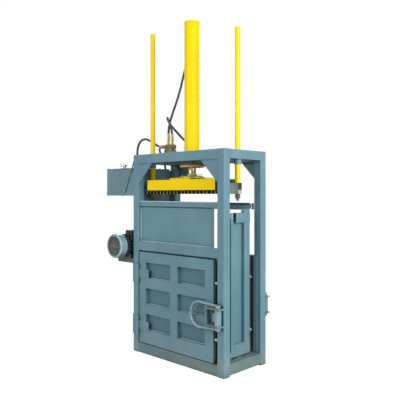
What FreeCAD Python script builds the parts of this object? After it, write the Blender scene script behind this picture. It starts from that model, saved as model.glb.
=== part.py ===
import FreeCAD, Part
import math
import os
import re
import Sketcher

# A small vertical recycling baler: a welded frame of square tube, an open-topped bale chamber with
# a door in front and behind, and a hydraulic cylinder that drives a comb-faced platen down into it.
# Millimetres, +Z up, +X to the right of someone who faces the front door (the door looks to -Y).
# The origin is the centre of the frame's footprint on the floor.

Vector = FreeCAD.Vector

# ---------------------------------------------------------------- driving sizes
SIZES = {
    # frame of square tube
    "frame_width": 1000,
    "frame_depth": 480,
    "frame_height": 1610,
    "post_size": 65,
    "tube_wall": 5,
    "tube_corner": 6,
    "end_beam_tall": 75,
    "side_beam_tall": 70,
    "bottom_rail_tall": 80,
    "side_rail_lift": 10,
    "middle_rail_bottom": 832,
    "middle_rail_tall": 74,
    "gusset_leg": 165,
    "gusset_thick": 8,
    "gusset_recess": 4,
    # hydraulic cylinder and its seat
    "press_back": 55,
    "cylinder_outer": 120,
    "cylinder_bore": 100,
    "cylinder_rise": 1030,
    "cylinder_cap_thick": 16,
    "cylinder_cap_chamfer": 3,
    "flange_outer": 190,
    "flange_thick": 18,
    "gland_tall": 45,
    "bridge_thick": 19,
    "bridge_half_width": 150,
    "bridge_rib_wide": 50,
    "bridge_lap": 25,
    "rod_outer": 65,
    "piston_thick": 50,
    "piston_drop": 70,
    "slide_gap": 0.3,
    "lower_port_rise": 62,
    "upper_port_drop": 80,
    "port_outer": 34,
    "port_long": 24,
    "port_root": 5,
    # platen
    "platen_front_gap": 45,
    "platen_rear_gap": 155,
    "platen_beam_gap": 27,
    "platen_sole_gap": 8,
    "platen_drop": 245,
    "comb_tall": 30,
    "comb_plate_thick": 6,
    "comb_bar_thick": 4,
    "comb_end": 16.5,
    "comb_channel_wide": 40,
    "comb_count": 10,
    "platen_beam_tall": 80,
    "platen_beam_wide": 50,
    "platen_beam_wall": 8,
    "hub_plate_half": 115,
    "hub_plate_thick": 10,
    "hub_outer": 200,
    "hub_flange_thick": 13,
    "hub_collar_outer": 86,
    "hub_collar_tall": 22,
    "hub_collar_flare": 10,
    "hub_bolt_circle": 156,
    "hub_bolt_outer": 22,
    "hub_bolt_tall": 10,
    # platen arms and guide rods
    "arm_wide": 40,
    "arm_tall": 80,
    "arm_inset": 10,
    "arm_wall": 6,
    "rod_guide_outer": 40,
    "guide_rise_left": 1030,
    "guide_rise_right": 890,
    "guide_end_chamfer": 2,
    "guide_stud_outer": 20,
    "guide_stud_drop": 50,
    "guide_nut_across": 34,
    "guide_nut_tall": 16,
    "sleeve_outer": 56,
    "sleeve_tall": 33,
    # bale chamber
    "chamber_inset": 35,
    "liner_thick": 6,
    "floor_top": 100,
    "floor_thick": 8,
    "bearer_wide": 60,
    "bearer_pitch": 110,
    "wall_front_gap": 40,
    "wall_column_wide": 65,
    "wall_channel_thick": 4,
    "wall_rear_column_gap": 116,
    "wall_drop": 459,
    "wall_top_rail_tall": 73,
    "wall_bottom_rail_tall": 87,
    "wall_slot_wide": 44,
    "liner_rear_gap": 70,
    "feed_sill": 820,
    "upper_plate_drop": 320,
    "upper_plate_thick": 6,
    "rear_rim_drop": 440,
    "rear_rim_tall": 53,
    "rear_rim_gap": 140,
    "rear_rim_thick": 4,
    # upper front panel
    "panel_recess": 30,
    "panel_thick": 4,
    "panel_right_gap": 59,
    "panel_fold_drop": 428,
    "panel_band_step": 10,
    "panel_rim_outer": 18,
    "panel_rim_drop": 377,
    # doors
    "door_left_gap": 15,
    "door_right_gap": 43,
    "door_bottom": 88,
    "door_top": 820,
    "door_thick": 36,
    "door_sheet": 6,
    "door_stile": 77,
    "window_tall": 128,
    "window_first": 197,
    "window_pitch": 207.5,
    "rear_pan_deep": 72,
    "rear_pan_edge": 35,
    "rear_pan_foot": 16,
    "rear_pan_sheet": 5,
    "rear_pan_gap": 2,
    # hinges
    "hinge_inset": 7,
    "hinge_stand_off": 14,
    "hinge_knuckle_outer": 26,
    "hinge_pin_outer": 16,
    "hinge_tall": 155,
    "hinge_strap_tall": 66,
    "hinge_strap_thick": 6,
    "hinge_strap_long": 120,
    "hinge_leaf_long": 58,
    "hinge_gap": 1,
    "hinge_leaf_gap": 2,
    "hinge_low": 225,
    "hinge_high": 646,
    "pin_gap": 0.06,
    # door latches
    "latch_aside": 32,
    "latch_stand_off": 28,
    "latch_tube_outer": 50,
    "latch_pin_outer": 24,
    "latch_tube_tall": 110,
    "latch_low": 370,
    "rear_latch_rise": 20,
    "latch_lug_thick": 9,
    "latch_lug_lap": 47,
    "latch_lug_reach": 36,
    "latch_lug_deep": 55,
    "latch_lug_corner": 12,
    "latch_lug_slope": 30,
    "latch_web_inset": 30,
    "latch_web_wide": 8,
    "latch_pin_proud": 3,
    "latch_running_gap": 1,
    "latch_post_gap": 0.8,
    "latch_tongue_thick": 12,
    "latch_tongue_deep": 36,
    "latch_tongue_tall": 60,
    "latch_tongue_root": 16,
    "latch_tongue_taper": 2.2,
    "latch_tongue_tip": 4,
    "latch_tongue_bevel": 14,
    "handle_bar_outer": 16,
    "handle_long": 267,
    "handle_bend": 34,
    "handle_eye_outer": 36,
    "handle_eye_tall": 18,
    "handle_eye_gap": 1,
    "handle_leg_gap": 6,
    # oil tank on the left
    "tank_long": 374,
    "tank_front_gap": 10,
    "tank_rear_gap": 70,
    "tank_drop": 304,
    "tank_tall": 200,
    "tank_lid_thick": 6,
    "tank_lid_lip": 4,
    "tank_side_gap": 5,
    "shelf_tall": 30,
    "shelf_thick": 5,
    "shelf_rear_lap": 15,
    "strut_thick": 6,
    "strut_wide": 34,
    "strut_foot_out": 143,
    "strut_top_drop": 65,
    "filler_out": 190,
    "filler_back": 45,
    "filler_outer": 64,
    "filler_tall": 45,
    "filler_neck_step": 8,
    "filler_chamfer": 4,
    # motor and pump below the tank
    "motor_out": 130,
    "motor_axis": 858,
    "motor_front": 100,
    "fan_cover_outer": 200,
    "fan_cover_long": 62,
    "fan_cover_thick": 3,
    "fan_cover_bend": 8,
    "fan_grille_outer": 150,
    "fan_wire_thick": 4,
    "fan_seat_deep": 6,
    "fan_seat_bore": 132,
    "fan_hub_outer": 50,
    "fan_hub_long": 26,
    "fan_hub_gap": 16,
    "fan_blade_inner": 20,
    "fan_blade_long": 54,
    "fan_blade_thick": 4,
    "fan_blade_deep": 24,
    "motor_core_outer": 160,
    "motor_fin_outer": 190,
    "motor_fin_thick": 4,
    "motor_fin_count": 28,
    "motor_long": 240,
    "motor_fin_root": 10,
    "motor_fin_end_gap": 20,
    "motor_flange_thick": 14,
    "motor_shaft_outer": 28,
    "motor_shaft_gap": 9,
    "motor_shaft_proud": 30,
    "motor_foot_wide": 34,
    "motor_foot_half": 90,
    "motor_foot_thick": 14,
    "motor_foot_waist": 54,
    "motor_foot_inset": 50,
    "motor_foot_drop": 48,
    "terminal_box_size": 86,
    "terminal_box_rise": 120,
    "terminal_box_aside": 45,
    "terminal_box_inset": 60,
    "bell_outer": 166,
    "bell_rim_thick": 12,
    "bell_nose_outer": 120,
    "bell_nose_long": 14,
    "bell_bore": 40,
    "pump_bell_long": 70,
    "pump_long": 90,
    "pump_half": 42,
    "pump_foot_drop": 14,
    "pump_port_outer": 32,
    "pump_port_long": 24,
    "fitting_root": 2,
    "power_shelf_wide": 205,
    "power_shelf_top": 757,
    "power_shelf_tall": 38,
    # valve on the left side beam
    "valve_plate_long": 235,
    "valve_plate_front": 215,
    "valve_plate_deep": 90,
    "valve_plate_thick": 8,
    "valve_inset": 120,
    "valve_wide": 96,
    "valve_deep": 56,
    "valve_tall": 82,
    "valve_port_outer": 26,
    "valve_port_tall": 40,
    "valve_hex_proud": 3,
    "valve_hex_tall": 12,
    "valve_neck_inset": 2,
    "valve_neck_tall": 6,
    "valve_port_pitch": 48,
    "side_port_long": 22,
    "side_port_rise": 72,
    "side_port_pitch": 28,
    "lever_outer": 10,
    "lever_long": 88,
    "lever_rise": 18,
    "lever_stand_off": 14,
    "lever_lug_thick": 8,
    "lever_eye_outer": 24,
    "lever_eye_wide": 14,
    "lever_pin_outer": 8,
    "lever_knob_outer": 26,
    # hoses
    "hose_outer": 19,
}

# ---------------------------------------------------------------- places worked out from the sizes
PLACES = {
    "front": "(-frame_depth / 2)",
    "rear": "(frame_depth / 2)",
    "post_inner_x": "(frame_width / 2 - post_size)",
    "post_inner_y": "(frame_depth / 2 - post_size)",
    "press_y": "(-press_back)",
    "guide_x": "((frame_width - post_size) / 2)",
    "end_beam_bottom": "(frame_height - end_beam_tall)",
    "cylinder_top": "(frame_height + cylinder_rise)",
    "lower_port_height": "(frame_height + lower_port_rise)",
    "upper_port_height": "(cylinder_top - upper_port_drop)",
    "guide_top_left": "(frame_height + guide_rise_left)",
    "guide_top_right": "(frame_height + guide_rise_right)",
    "platen_beam_half": "(chamber_half - platen_beam_gap)",
    "platen_sole_half": "(chamber_half - platen_sole_gap)",
    "platen_bottom": "(end_beam_bottom - platen_drop)",
    "comb_pitch": "((2 * (platen_sole_half - comb_end) - comb_channel_wide) / (comb_count - 1))",
    "arm_reach": "(frame_width / 2 - arm_inset)",
    "chamber_half": "(post_inner_x - chamber_inset)",
    "wall_top": "(frame_height - wall_drop)",
    "upper_plate_top": "(frame_height - upper_plate_drop)",
    "rear_rim_bottom": "(frame_height - rear_rim_drop)",
    "panel_right": "(post_inner_x - panel_right_gap)",
    "panel_fold": "(frame_height - panel_fold_drop)",
    "panel_rim_top": "(frame_height - panel_rim_drop)",
    "door_left": "(post_inner_x - door_left_gap)",
    "door_right": "(post_inner_x - door_right_gap)",
    "hinge_x": "(post_inner_x - hinge_inset)",
    "latch_x": "(post_inner_x + latch_aside)",
    "latch_lug_left": "(door_right - latch_lug_lap)",
    "latch_lug_right": "(latch_x + latch_lug_reach)",
    "handle_reach": "(latch_x - handle_long)",
    "tank_left": "(frame_width / 2 + tank_long)",
    "tank_bottom": "(frame_height - tank_drop)",
    "strut_foot_x": "(frame_width / 2 + strut_foot_out)",
    "strut_top": "(frame_height - strut_top_drop)",
    "filler_x": "(frame_width / 2 + filler_out)",
    "motor_x": "(frame_width / 2 + motor_out)",
    "power_shelf_left": "(frame_width / 2 + power_shelf_wide)",
    "valve_plate_right": "(frame_width / 2 - valve_plate_long)",
    "valve_left": "(frame_width / 2 - valve_inset)",
    "side_beam_bottom": "(frame_height - side_beam_tall)",
    "middle_rail_top": "(middle_rail_bottom + middle_rail_tall)",
    "bridge_bottom": "(end_beam_bottom - bridge_thick)",
    "flange_bottom": "(bridge_bottom - flange_thick)",
    "platen_front": "(front + platen_front_gap)",
    "platen_rear": "(rear - platen_rear_gap)",
    "comb_top": "(platen_bottom + comb_tall)",
    "platen_top": "(comb_top + platen_beam_tall)",
    "hub_bottom": "(platen_top + hub_plate_thick)",
    "hub_flange_top": "(hub_bottom + hub_flange_thick)",
    "arm_top": "(platen_bottom + arm_tall)",
    "piston_top": "(cylinder_top - cylinder_cap_thick - piston_drop)",
    "floor_bottom": "(floor_top - floor_thick)",
    "wall_front": "(front + wall_front_gap)",
    "wall_rear_column": "(rear - wall_rear_column_gap - wall_column_wide)",
    "wall_rear": "(rear - liner_rear_gap)",
    "slot_front": "(press_y - wall_slot_wide / 2)",
    "slot_rear": "(press_y + wall_slot_wide / 2)",
    "liner_outer": "(chamber_half + liner_thick)",
    "panel_front": "(front + panel_recess)",
    "hinge_out": "(frame_depth / 2 + hinge_stand_off)",
    "latch_out": "(frame_depth / 2 + latch_stand_off)",
    "latch_high": "(latch_low + latch_tube_tall)",
    "tank_front": "(front + tank_front_gap)",
    "tank_rear": "(rear - tank_rear_gap)",
    "tank_top": "(tank_bottom + tank_tall)",
    "tank_right": "(frame_width / 2 + tank_side_gap)",
    "shelf_front": "(front + strut_thick)",
    "shelf_rear": "(post_inner_y + shelf_rear_lap)",
    "motor_face": "(front - motor_front)",
    "housing_front": "(motor_face + fan_cover_long)",
    "housing_rear": "(housing_front + motor_long)",
    "bell_rear": "(housing_rear + pump_bell_long)",
    "pump_rear": "(bell_rear + pump_long)",
    "valve_y": "(front + valve_plate_front + valve_plate_deep / 2)",
    "valve_plate_top": "(frame_height + valve_plate_thick)",
    "valve_top": "(valve_plate_top + valve_tall)",
    "valve_port_top": "(valve_top + valve_port_tall)",
    "valve_middle": "(-valve_left + valve_wide / 2)",
    "lever_y": "(valve_y + valve_deep / 2 + lever_stand_off)",
    "lever_z": "(valve_plate_top + lever_rise)",
}

doc = FreeCAD.newDocument("RecyclingBaler")
sheet = doc.addObject("Spreadsheet::Sheet", "Dimensions")
for row, (alias, value) in enumerate(SIZES.items(), start=1):
    sheet.set(f"A{row}", alias)
    sheet.set(f"B{row}", str(value))
    sheet.setAlias(f"B{row}", alias)
doc.recompute()

NODES = []


# ---------------------------------------------------------------- helpers
def tied(text):
    """The text as an expression on the sheet, with every place worked out from its sizes."""
    text = str(text)
    while True:
        longer = re.sub(r"[a-z_]{3,}", lambda word: PLACES.get(word.group(), word.group()), text)
        if longer == text:
            break
        text = longer
    return re.sub(r"[a-z_]{3,}", lambda word: name_cell(word.group()), text)


def name_cell(word):
    """The cell's full name where the word is a size, or the word itself, such as abs."""
    if word in SIZES:
        return f"Dimensions.{word}"
    return word


def size(text):
    """The number that an expression gives."""
    return float(sheet.evalExpression(tied(text)))


def node(thing, name):
    """Names a finished sub-part; its Label is also its file's name."""
    thing.Label = name
    NODES.append(thing)
    return thing


def own_plane(body, along):
    """The body's origin plane that stands square to an axis."""
    role = {"X": "YZ_Plane", "Y": "XZ_Plane", "Z": "XY_Plane"}[along]
    return next(f for f in body.Origin.OriginFeatures if f.Role == role)


def sketch_on(body, along, loops, level):
    """A sketch square to an axis at a level: each loop is corner points or one circle (a, b, radius)."""
    sketch = body.newObject("Sketcher::SketchObject", "Outline")
    sketch.AttachmentSupport = (own_plane(body, along), [""])
    sketch.MapMode = "FlatFace"
    sign = "-1" if along == "Y" else "1"
    sketch.setExpression("AttachmentOffset.Base.z", tied(f"{sign} * ({level})"))
    for loop in loops:
        if isinstance(loop, tuple):
            draw_circle(sketch, *loop)
        else:
            draw_corners(sketch, loop)
    return sketch


def hold(sketch, kind, geometry, point, text):
    """One distance from the origin, bound to the sheet."""
    if point is None:
        index = sketch.addConstraint(Sketcher.Constraint(kind, geometry, size(text)))
    else:
        index = sketch.addConstraint(Sketcher.Constraint(kind, -1, 1, geometry, point, size(text)))
    sketch.setExpression(f"Constraints[{index}]", tied(text))


def draw_circle(sketch, across, up, radius):
    centre = Vector(size(across), size(up), 0)
    circle = sketch.addGeometry(Part.Circle(centre, Vector(0, 0, 1), size(radius)))
    hold(sketch, "DistanceX", circle, 3, across)
    hold(sketch, "DistanceY", circle, 3, up)
    hold(sketch, "Radius", circle, None, radius)


def draw_corners(sketch, corners):
    places = [Vector(size(across), size(up), 0) for across, up in corners]
    lines = [
        sketch.addGeometry(Part.LineSegment(first, second))
        for first, second in zip(places, places[1:] + places[:1])
    ]
    for line, after in zip(lines, lines[1:] + lines[:1]):
        sketch.addConstraint(Sketcher.Constraint("Coincident", line, 2, after, 1))
    for line, (across, up) in zip(lines, corners):
        hold(sketch, "DistanceX", line, 1, across)
        hold(sketch, "DistanceY", line, 1, up)


def pad(body, along, loops, start, end):
    """Adds a straight prism of the loops between two levels on an axis."""
    sketch = sketch_on(body, along, loops, end if along == "Y" else start)
    feature = body.newObject("PartDesign::Pad", "Pad")
    feature.Profile = sketch
    feature.setExpression("Length", tied(f"({end}) - ({start})"))
    return feature


def pocket(body, along, loops, start, end):
    """Cuts a straight prism of the loops between two levels on an axis."""
    sketch = sketch_on(body, along, loops, start if along == "Y" else end)
    feature = body.newObject("PartDesign::Pocket", "Pocket")
    feature.Profile = sketch
    feature.setExpression("Length", tied(f"({end}) - ({start})"))
    return feature


def new_body(name):
    return doc.addObject("PartDesign::Body", name)


def prism(name, along, loops, start, end):
    body = new_body(name)
    pad(body, along, loops, start, end)
    return body


def rectangle(across, up):
    """Corner points of a rectangle from its two ranges."""
    return [(across[0], up[0]), (across[1], up[0]), (across[1], up[1]), (across[0], up[1])]


def around(centre, width):
    """The range of a width about its centre."""
    return (f"({centre}) - ({width}) / 2", f"({centre}) + ({width}) / 2")


def inset(span, wall):
    return (f"({span[0]}) + ({wall})", f"({span[1]}) - ({wall})")


def square_tube(name, along, across, up, start, end, capped=False):
    """A tube with rounded outer corners; capped closes its upper end with a welded plate."""
    body = new_body(name)
    outer = rectangle(across, up)
    inner = rectangle(inset(across, "tube_wall"), inset(up, "tube_wall"))
    feature = pad(body, along, [outer, inner], start, end)
    if capped:
        feature = pad(body, along, [outer], f"({end}) - tube_wall", end)
    doc.recompute()
    places = [(size(a), size(b)) for a, b in outer]
    edges = long_edges(feature.Shape, along, places, size(f"({end}) - ({start})"))
    fillet = body.newObject("PartDesign::Fillet", "Corners")
    fillet.Base = (feature, edges)
    fillet.setExpression("Radius", tied("tube_corner"))
    return body


def long_edges(shape, along, places, least):
    """Names of the edges that run along an axis through the given places."""
    keep = {"X": ("y", "z"), "Y": ("x", "z"), "Z": ("x", "y")}[along]
    found = []
    for number, edge in enumerate(shape.Edges, start=1):
        first, last = edge.Vertexes[0].Point, edge.Vertexes[-1].Point
        here = [(getattr(p, keep[0]), getattr(p, keep[1])) for p in (first, last)]
        on_corner = any(
            all(math.dist(spot, place) < 0.01 for spot in here) for place in places
        )
        if on_corner and edge.Length > least / 2:
            found.append(f"Edge{number}")
    return found


TURNS = {
    "X": FreeCAD.Rotation(Vector(0, 1, 0), 90),
    "Y": FreeCAD.Rotation(Vector(1, 0, 0), -90),
    "Z": FreeCAD.Rotation(),
    "rear left": FreeCAD.Rotation(Vector(0, 0, 1), Vector(-1, 1, 0)),
}


def put(thing, along, place):
    """Turns a thing that was made upright onto an axis, and sets it at a place."""
    thing.Placement = FreeCAD.Placement(Vector(*[size(p) for p in place]), TURNS[along])
    for letter, text in zip("xyz", place):
        thing.setExpression(f"Placement.Base.{letter}", tied(text))
    return thing


def round_bar(name, along, place, outer, long):
    """A plain cylinder that starts at a place and runs along an axis."""
    bar = doc.addObject("Part::Cylinder", name)
    bar.setExpression("Radius", tied(f"({outer}) / 2"))
    bar.setExpression("Height", tied(long))
    return put(bar, along, place)


def turned(name, along, outline, place):
    """A body turned about an axis: the outline is radius and distance along the axis."""
    body = new_body(name)
    sketch = sketch_on(body, "Y", [outline], "0")
    feature = body.newObject("PartDesign::Revolution", "Turned")
    feature.Profile = sketch
    feature.ReferenceAxis = (sketch, ["V_Axis"])
    feature.Angle = 360
    return put(body, along, place)


def fuse(name, things):
    joined = doc.addObject("Part::MultiFuse", name)
    joined.Shapes = things
    joined.Refine = True
    return joined


def cut(name, base, tools):
    tool = tools[0] if len(tools) == 1 else fuse(f"{name}_tools", tools)
    carved = doc.addObject("Part::Cut", name)
    carved.Base = base
    carved.Tool = tool
    carved.Refine = True
    return carved


def group(name, things):
    """Like pieces that share one node as separate solids."""
    together = doc.addObject("Part::Compound", name)
    together.Links = things
    return together


SIDES = (("left", -1), ("right", 1))
ENDS = (("front", -1), ("rear", 1))


# ---------------------------------------------------------------- frame
def make_posts():
    for side, left_right in SIDES:
        for end, front_rear in ENDS:
            across = around(f"{left_right} * guide_x", "post_size")
            deep = around(f"{front_rear} * (frame_depth - post_size) / 2", "post_size")
            name = f"post_{end}_{side}"
            node(square_tube(name, "Z", across, deep, "0", "frame_height", capped=True), name)


def make_end_beams():
    """Front and rear top beams, each with two corner gussets welded under its ends."""
    for end, front_rear in ENDS:
        name = f"top_beam_{end}"
        deep = around(f"{front_rear} * (frame_depth - post_size) / 2", "post_size")
        beam = square_tube(
            f"{name}_tube", "X", deep, ("end_beam_bottom", "frame_height"), "-post_inner_x", "post_inner_x"
        )
        plate = around(f"{front_rear} * (frame_depth / 2 - gusset_recess - gusset_thick / 2)", "gusset_thick")
        gussets = [
            prism(f"{name}_gusset_{side}", "Y", [gusset_corners(left_right)], *plate)
            for side, left_right in SIDES
        ]
        node(fuse(name, [beam, *gussets]), name)


def gusset_corners(left_right):
    post = f"{left_right} * post_inner_x"
    inner = f"{left_right} * (post_inner_x - gusset_leg)"
    return [
        (post, "end_beam_bottom"),
        (inner, "end_beam_bottom"),
        (post, "end_beam_bottom - gusset_leg"),
    ]


def make_side_beams():
    """Side beams, each bored for the guide rod that slides through it."""
    for side, left_right in SIDES:
        name = f"top_beam_{side}"
        across = around(f"{left_right} * guide_x", "post_size")
        beam = square_tube(
            name, "Y", across, ("side_beam_bottom", "frame_height"), "-post_inner_y", "post_inner_y"
        )
        bore = (f"{left_right} * guide_x", "press_y", "rod_guide_outer / 2 + slide_gap")
        pocket(beam, "Z", [bore], "side_beam_bottom", "frame_height")
        node(beam, name)


def make_bottom_rails():
    for end, front_rear in ENDS:
        deep = around(f"{front_rear} * (frame_depth - post_size) / 2", "post_size")
        name = f"bottom_rail_{end}"
        tall = ("0", "bottom_rail_tall")
        node(square_tube(name, "X", deep, tall, "-post_inner_x", "post_inner_x"), name)
    for side, left_right in SIDES:
        across = around(f"{left_right} * guide_x", "post_size")
        name = f"bottom_rail_{side}"
        tall = ("side_rail_lift", "side_rail_lift + bottom_rail_tall")
        node(square_tube(name, "Y", across, tall, "-post_inner_y", "post_inner_y"), name)


def make_middle_rail():
    deep = ("front", "front + door_thick")
    tall = ("middle_rail_bottom", "middle_rail_top")
    rail = square_tube("mid_rail_front", "X", deep, tall, "-post_inner_x", "post_inner_x")
    node(rail, "mid_rail_front")


def make_bridge():
    """The plate that carries the cylinder, lapped under both end beams and stiffened by two channels."""
    deep = "post_inner_y + bridge_lap"
    plate = prism(
        "bridge_plate",
        "Z",
        [
            rectangle(("-bridge_half_width", "bridge_half_width"), (f"-({deep})", deep)),
            ("0", "press_y", "cylinder_outer / 2 + slide_gap"),
        ],
        "bridge_bottom",
        "end_beam_bottom",
    )
    ribs = []
    for side, left_right in SIDES:
        outer = f"{left_right} * bridge_half_width"
        inner = f"{left_right} * (bridge_half_width - bridge_rib_wide)"
        web = f"{left_right} * (bridge_half_width - tube_wall)"
        low, high = "end_beam_bottom", "frame_height - tube_wall"
        channel = [
            (outer, low),
            (inner, low),
            (inner, f"{low} + tube_wall"),
            (web, f"{low} + tube_wall"),
            (web, f"{high} - tube_wall"),
            (inner, f"{high} - tube_wall"),
            (inner, high),
            (outer, high),
        ]
        ribs.append(prism(f"bridge_rib_{side}", "Y", [channel], "-post_inner_y", "post_inner_y"))
    node(fuse("cylinder_bridge", [plate, *ribs]), "cylinder_bridge")


# ---------------------------------------------------------------- bale chamber
def make_floor():
    bearers = []
    for place in (-1, 0, 1):
        deep = around(f"{place} * bearer_pitch", "bearer_wide")
        bearers.append(
            square_tube(
                f"bearer_{place + 2}", "X", deep, ("0", "floor_bottom"), "-post_inner_x", "post_inner_x"
            )
        )
    node(group("floor_bearers", bearers), "floor_bearers")
    outline = rectangle(("-post_inner_x", "post_inner_x"), ("wall_front", "wall_rear"))
    plate = prism("chamber_floor", "Z", [outline], "floor_bottom", "floor_top")
    node(plate, "chamber_floor")


def channel_on_liner(name, along, left_right, span, start, end):
    """A channel welded open side to the liner's outer face; span is its width, up or along the wall."""
    near = f"{left_right} * liner_outer"
    far = f"{left_right} * post_inner_x"
    web = f"{left_right} * (post_inner_x - wall_channel_thick)"
    low, high = span
    corners = [
        (near, low),
        (far, low),
        (far, high),
        (near, high),
        (near, f"({high}) - wall_channel_thick"),
        (web, f"({high}) - wall_channel_thick"),
        (web, f"({low}) + wall_channel_thick"),
        (near, f"({low}) + wall_channel_thick"),
    ]
    return prism(name, along, [corners], start, end)


def make_side_walls():
    """Liner sheet, slotted for the platen's arm, with channels welded outside it."""
    column_front = ("wall_front", "wall_front + wall_column_wide")
    column_rear = ("wall_rear_column", "wall_rear_column + wall_column_wide")
    low_rail = ("floor_top", "floor_top + wall_bottom_rail_tall")
    top_rail = ("wall_top - wall_top_rail_tall", "wall_top")
    liner = [
        (column_front[0], "floor_top"),
        ("wall_rear", "floor_top"),
        ("wall_rear", "feed_sill"),
        (column_rear[1], "feed_sill"),
        (column_rear[1], "wall_top"),
        ("slot_rear", "wall_top"),
        ("slot_rear", low_rail[1]),
        ("slot_front", low_rail[1]),
        ("slot_front", "wall_top"),
        (column_front[0], "wall_top"),
    ]
    for side, left_right in SIDES:
        name = f"side_wall_{side}"
        sheet_span = around(f"{left_right} * (chamber_half + liner_thick / 2)", "liner_thick")
        flange = rectangle(
            (f"{left_right} * chamber_half", f"{left_right} * guide_x"),
            ("post_inner_y - liner_thick", "post_inner_y"),
        )
        pieces = [
            prism(f"{name}_liner", "X", [liner], *sheet_span),
            channel_on_liner(f"{name}_front_column", "Z", left_right, column_front, "floor_top", "wall_top"),
            channel_on_liner(
                f"{name}_rear_column", "Z", left_right, column_rear, "floor_top", "rear_rim_bottom"
            ),
            channel_on_liner(
                f"{name}_low_rail", "Y", left_right, low_rail, column_front[1], column_rear[0]
            ),
            channel_on_liner(
                f"{name}_front_rail", "Y", left_right, top_rail, column_front[1], "slot_front"
            ),
            channel_on_liner(
                f"{name}_rear_rail", "Y", left_right, top_rail, "slot_rear", column_rear[0]
            ),
            prism(f"{name}_flange", "Z", [flange], "floor_top", "feed_sill"),
        ]
        node(fuse(name, pieces), name)


def make_upper_panels():
    """The folded front panel with its rolled rim, the rear rim rail and the plate on the left."""
    back = "panel_front + panel_thick"
    band = "panel_front - panel_band_step"
    rim_axis = "panel_rim_top - panel_rim_outer / 2"
    folded = [
        ("panel_front", "middle_rail_top"),
        (back, "middle_rail_top"),
        (back, "panel_fold"),
        (f"{band} + panel_thick", "panel_fold + panel_band_step"),
        (f"{band} + panel_thick", rim_axis),
        (band, rim_axis),
        (band, "panel_fold + panel_band_step"),
        ("panel_front", "panel_fold"),
    ]
    panel = prism("front_panel_sheet", "X", [folded], "-post_inner_x", "panel_right")
    strip = rectangle((band, f"{band} + panel_thick"), ("panel_fold", rim_axis))
    tail = prism("front_panel_tail", "X", [strip], "panel_right - panel_thick", "post_inner_x")
    rim = round_bar(
        "front_panel_rim",
        "X",
        ("-post_inner_x", f"{band} + panel_rim_outer / 2", rim_axis),
        "panel_rim_outer",
        "2 * post_inner_x",
    )
    node(fuse("upper_front_panel", [panel, tail, rim]), "upper_front_panel")

    side = rectangle(("-post_inner_y", "post_inner_y"), ("wall_top", "upper_plate_top"))
    plate = prism(
        "left_upper_plate", "X", [side], "-frame_width / 2", "-frame_width / 2 + upper_plate_thick"
    )
    node(plate, "left_upper_plate")


def make_rear_rim():
    """A rail of sheet rolled to a half round, open to the chamber, on top of the rear wall columns."""
    radius = "rear_rim_tall / 2"
    start = "rear - rear_rim_gap"
    axis_y = f"{start} + rear_rim_tall / 2"
    axis_z = f"rear_rim_bottom + {radius}"
    long = "2 * post_inner_x"
    outer = round_bar("rim_outer", "X", ("-post_inner_x", axis_y, axis_z), "rear_rim_tall", long)
    bore = round_bar(
        "rim_bore", "X", ("-post_inner_x", axis_y, axis_z), "rear_rim_tall - 2 * rear_rim_thick", long
    )
    tall = ("rear_rim_bottom", "rear_rim_bottom + rear_rim_tall")
    lips = prism("rim_lips", "X", [rectangle((start, axis_y), tall)], "-post_inner_x", "post_inner_x")
    hollow = prism(
        "rim_hollow",
        "X",
        [rectangle((start, axis_y), inset(tall, "rear_rim_thick"))],
        "-post_inner_x",
        "post_inner_x",
    )
    rail = cut("rear_rim_rail", fuse("rim_blank", [outer, lips]), [bore, hollow])
    node(rail, "rear_rim_rail")


def make_sleeves():
    for side, left_right in SIDES:
        bore = "rod_guide_outer / 2 + slide_gap"
        outline = rectangle((bore, "sleeve_outer / 2"), ("side_beam_bottom - sleeve_tall", "side_beam_bottom"))
        name = f"guide_sleeve_{side}"
        node(turned(name, "Z", outline, (f"{left_right} * guide_x", "press_y", "0")), name)


# ---------------------------------------------------------------- cylinder and platen
def make_cylinder():
    axis = ("0", "press_y", "0")
    body_top = "cylinder_top - cylinder_cap_thick"
    wall = rectangle(("cylinder_bore / 2", "cylinder_outer / 2"), ("bridge_bottom", body_top))
    tube = turned("cylinder_wall", "Z", wall, axis)
    ports = []
    for label in ("lower", "upper"):
        inside = "(cylinder_outer / 2 - port_root) * sqrt(0.5)"
        place = (f"-{inside}", f"press_y + {inside}", f"{label}_port_height")
        ports.append(
            round_bar(f"{label}_port", "rear left", place, "port_outer", "port_long + port_root")
        )
    node(fuse("cylinder_tube", [tube, *ports]), "cylinder_tube")

    cap = [
        ("0", body_top),
        ("cylinder_outer / 2", body_top),
        ("cylinder_outer / 2", "cylinder_top - cylinder_cap_chamfer"),
        ("cylinder_outer / 2 - cylinder_cap_chamfer", "cylinder_top"),
        ("0", "cylinder_top"),
    ]
    node(turned("cylinder_cap", "Z", cap, axis), "cylinder_cap")

    bore = "rod_outer / 2 + slide_gap"
    spigot = "cylinder_bore / 2 - slide_gap"
    flange = [
        (bore, "flange_bottom"),
        ("flange_outer / 2", "flange_bottom"),
        ("flange_outer / 2", "bridge_bottom"),
        (spigot, "bridge_bottom"),
        (spigot, "bridge_bottom + gland_tall"),
        (bore, "bridge_bottom + gland_tall"),
    ]
    node(turned("cylinder_flange", "Z", flange, axis), "cylinder_flange")


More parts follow.
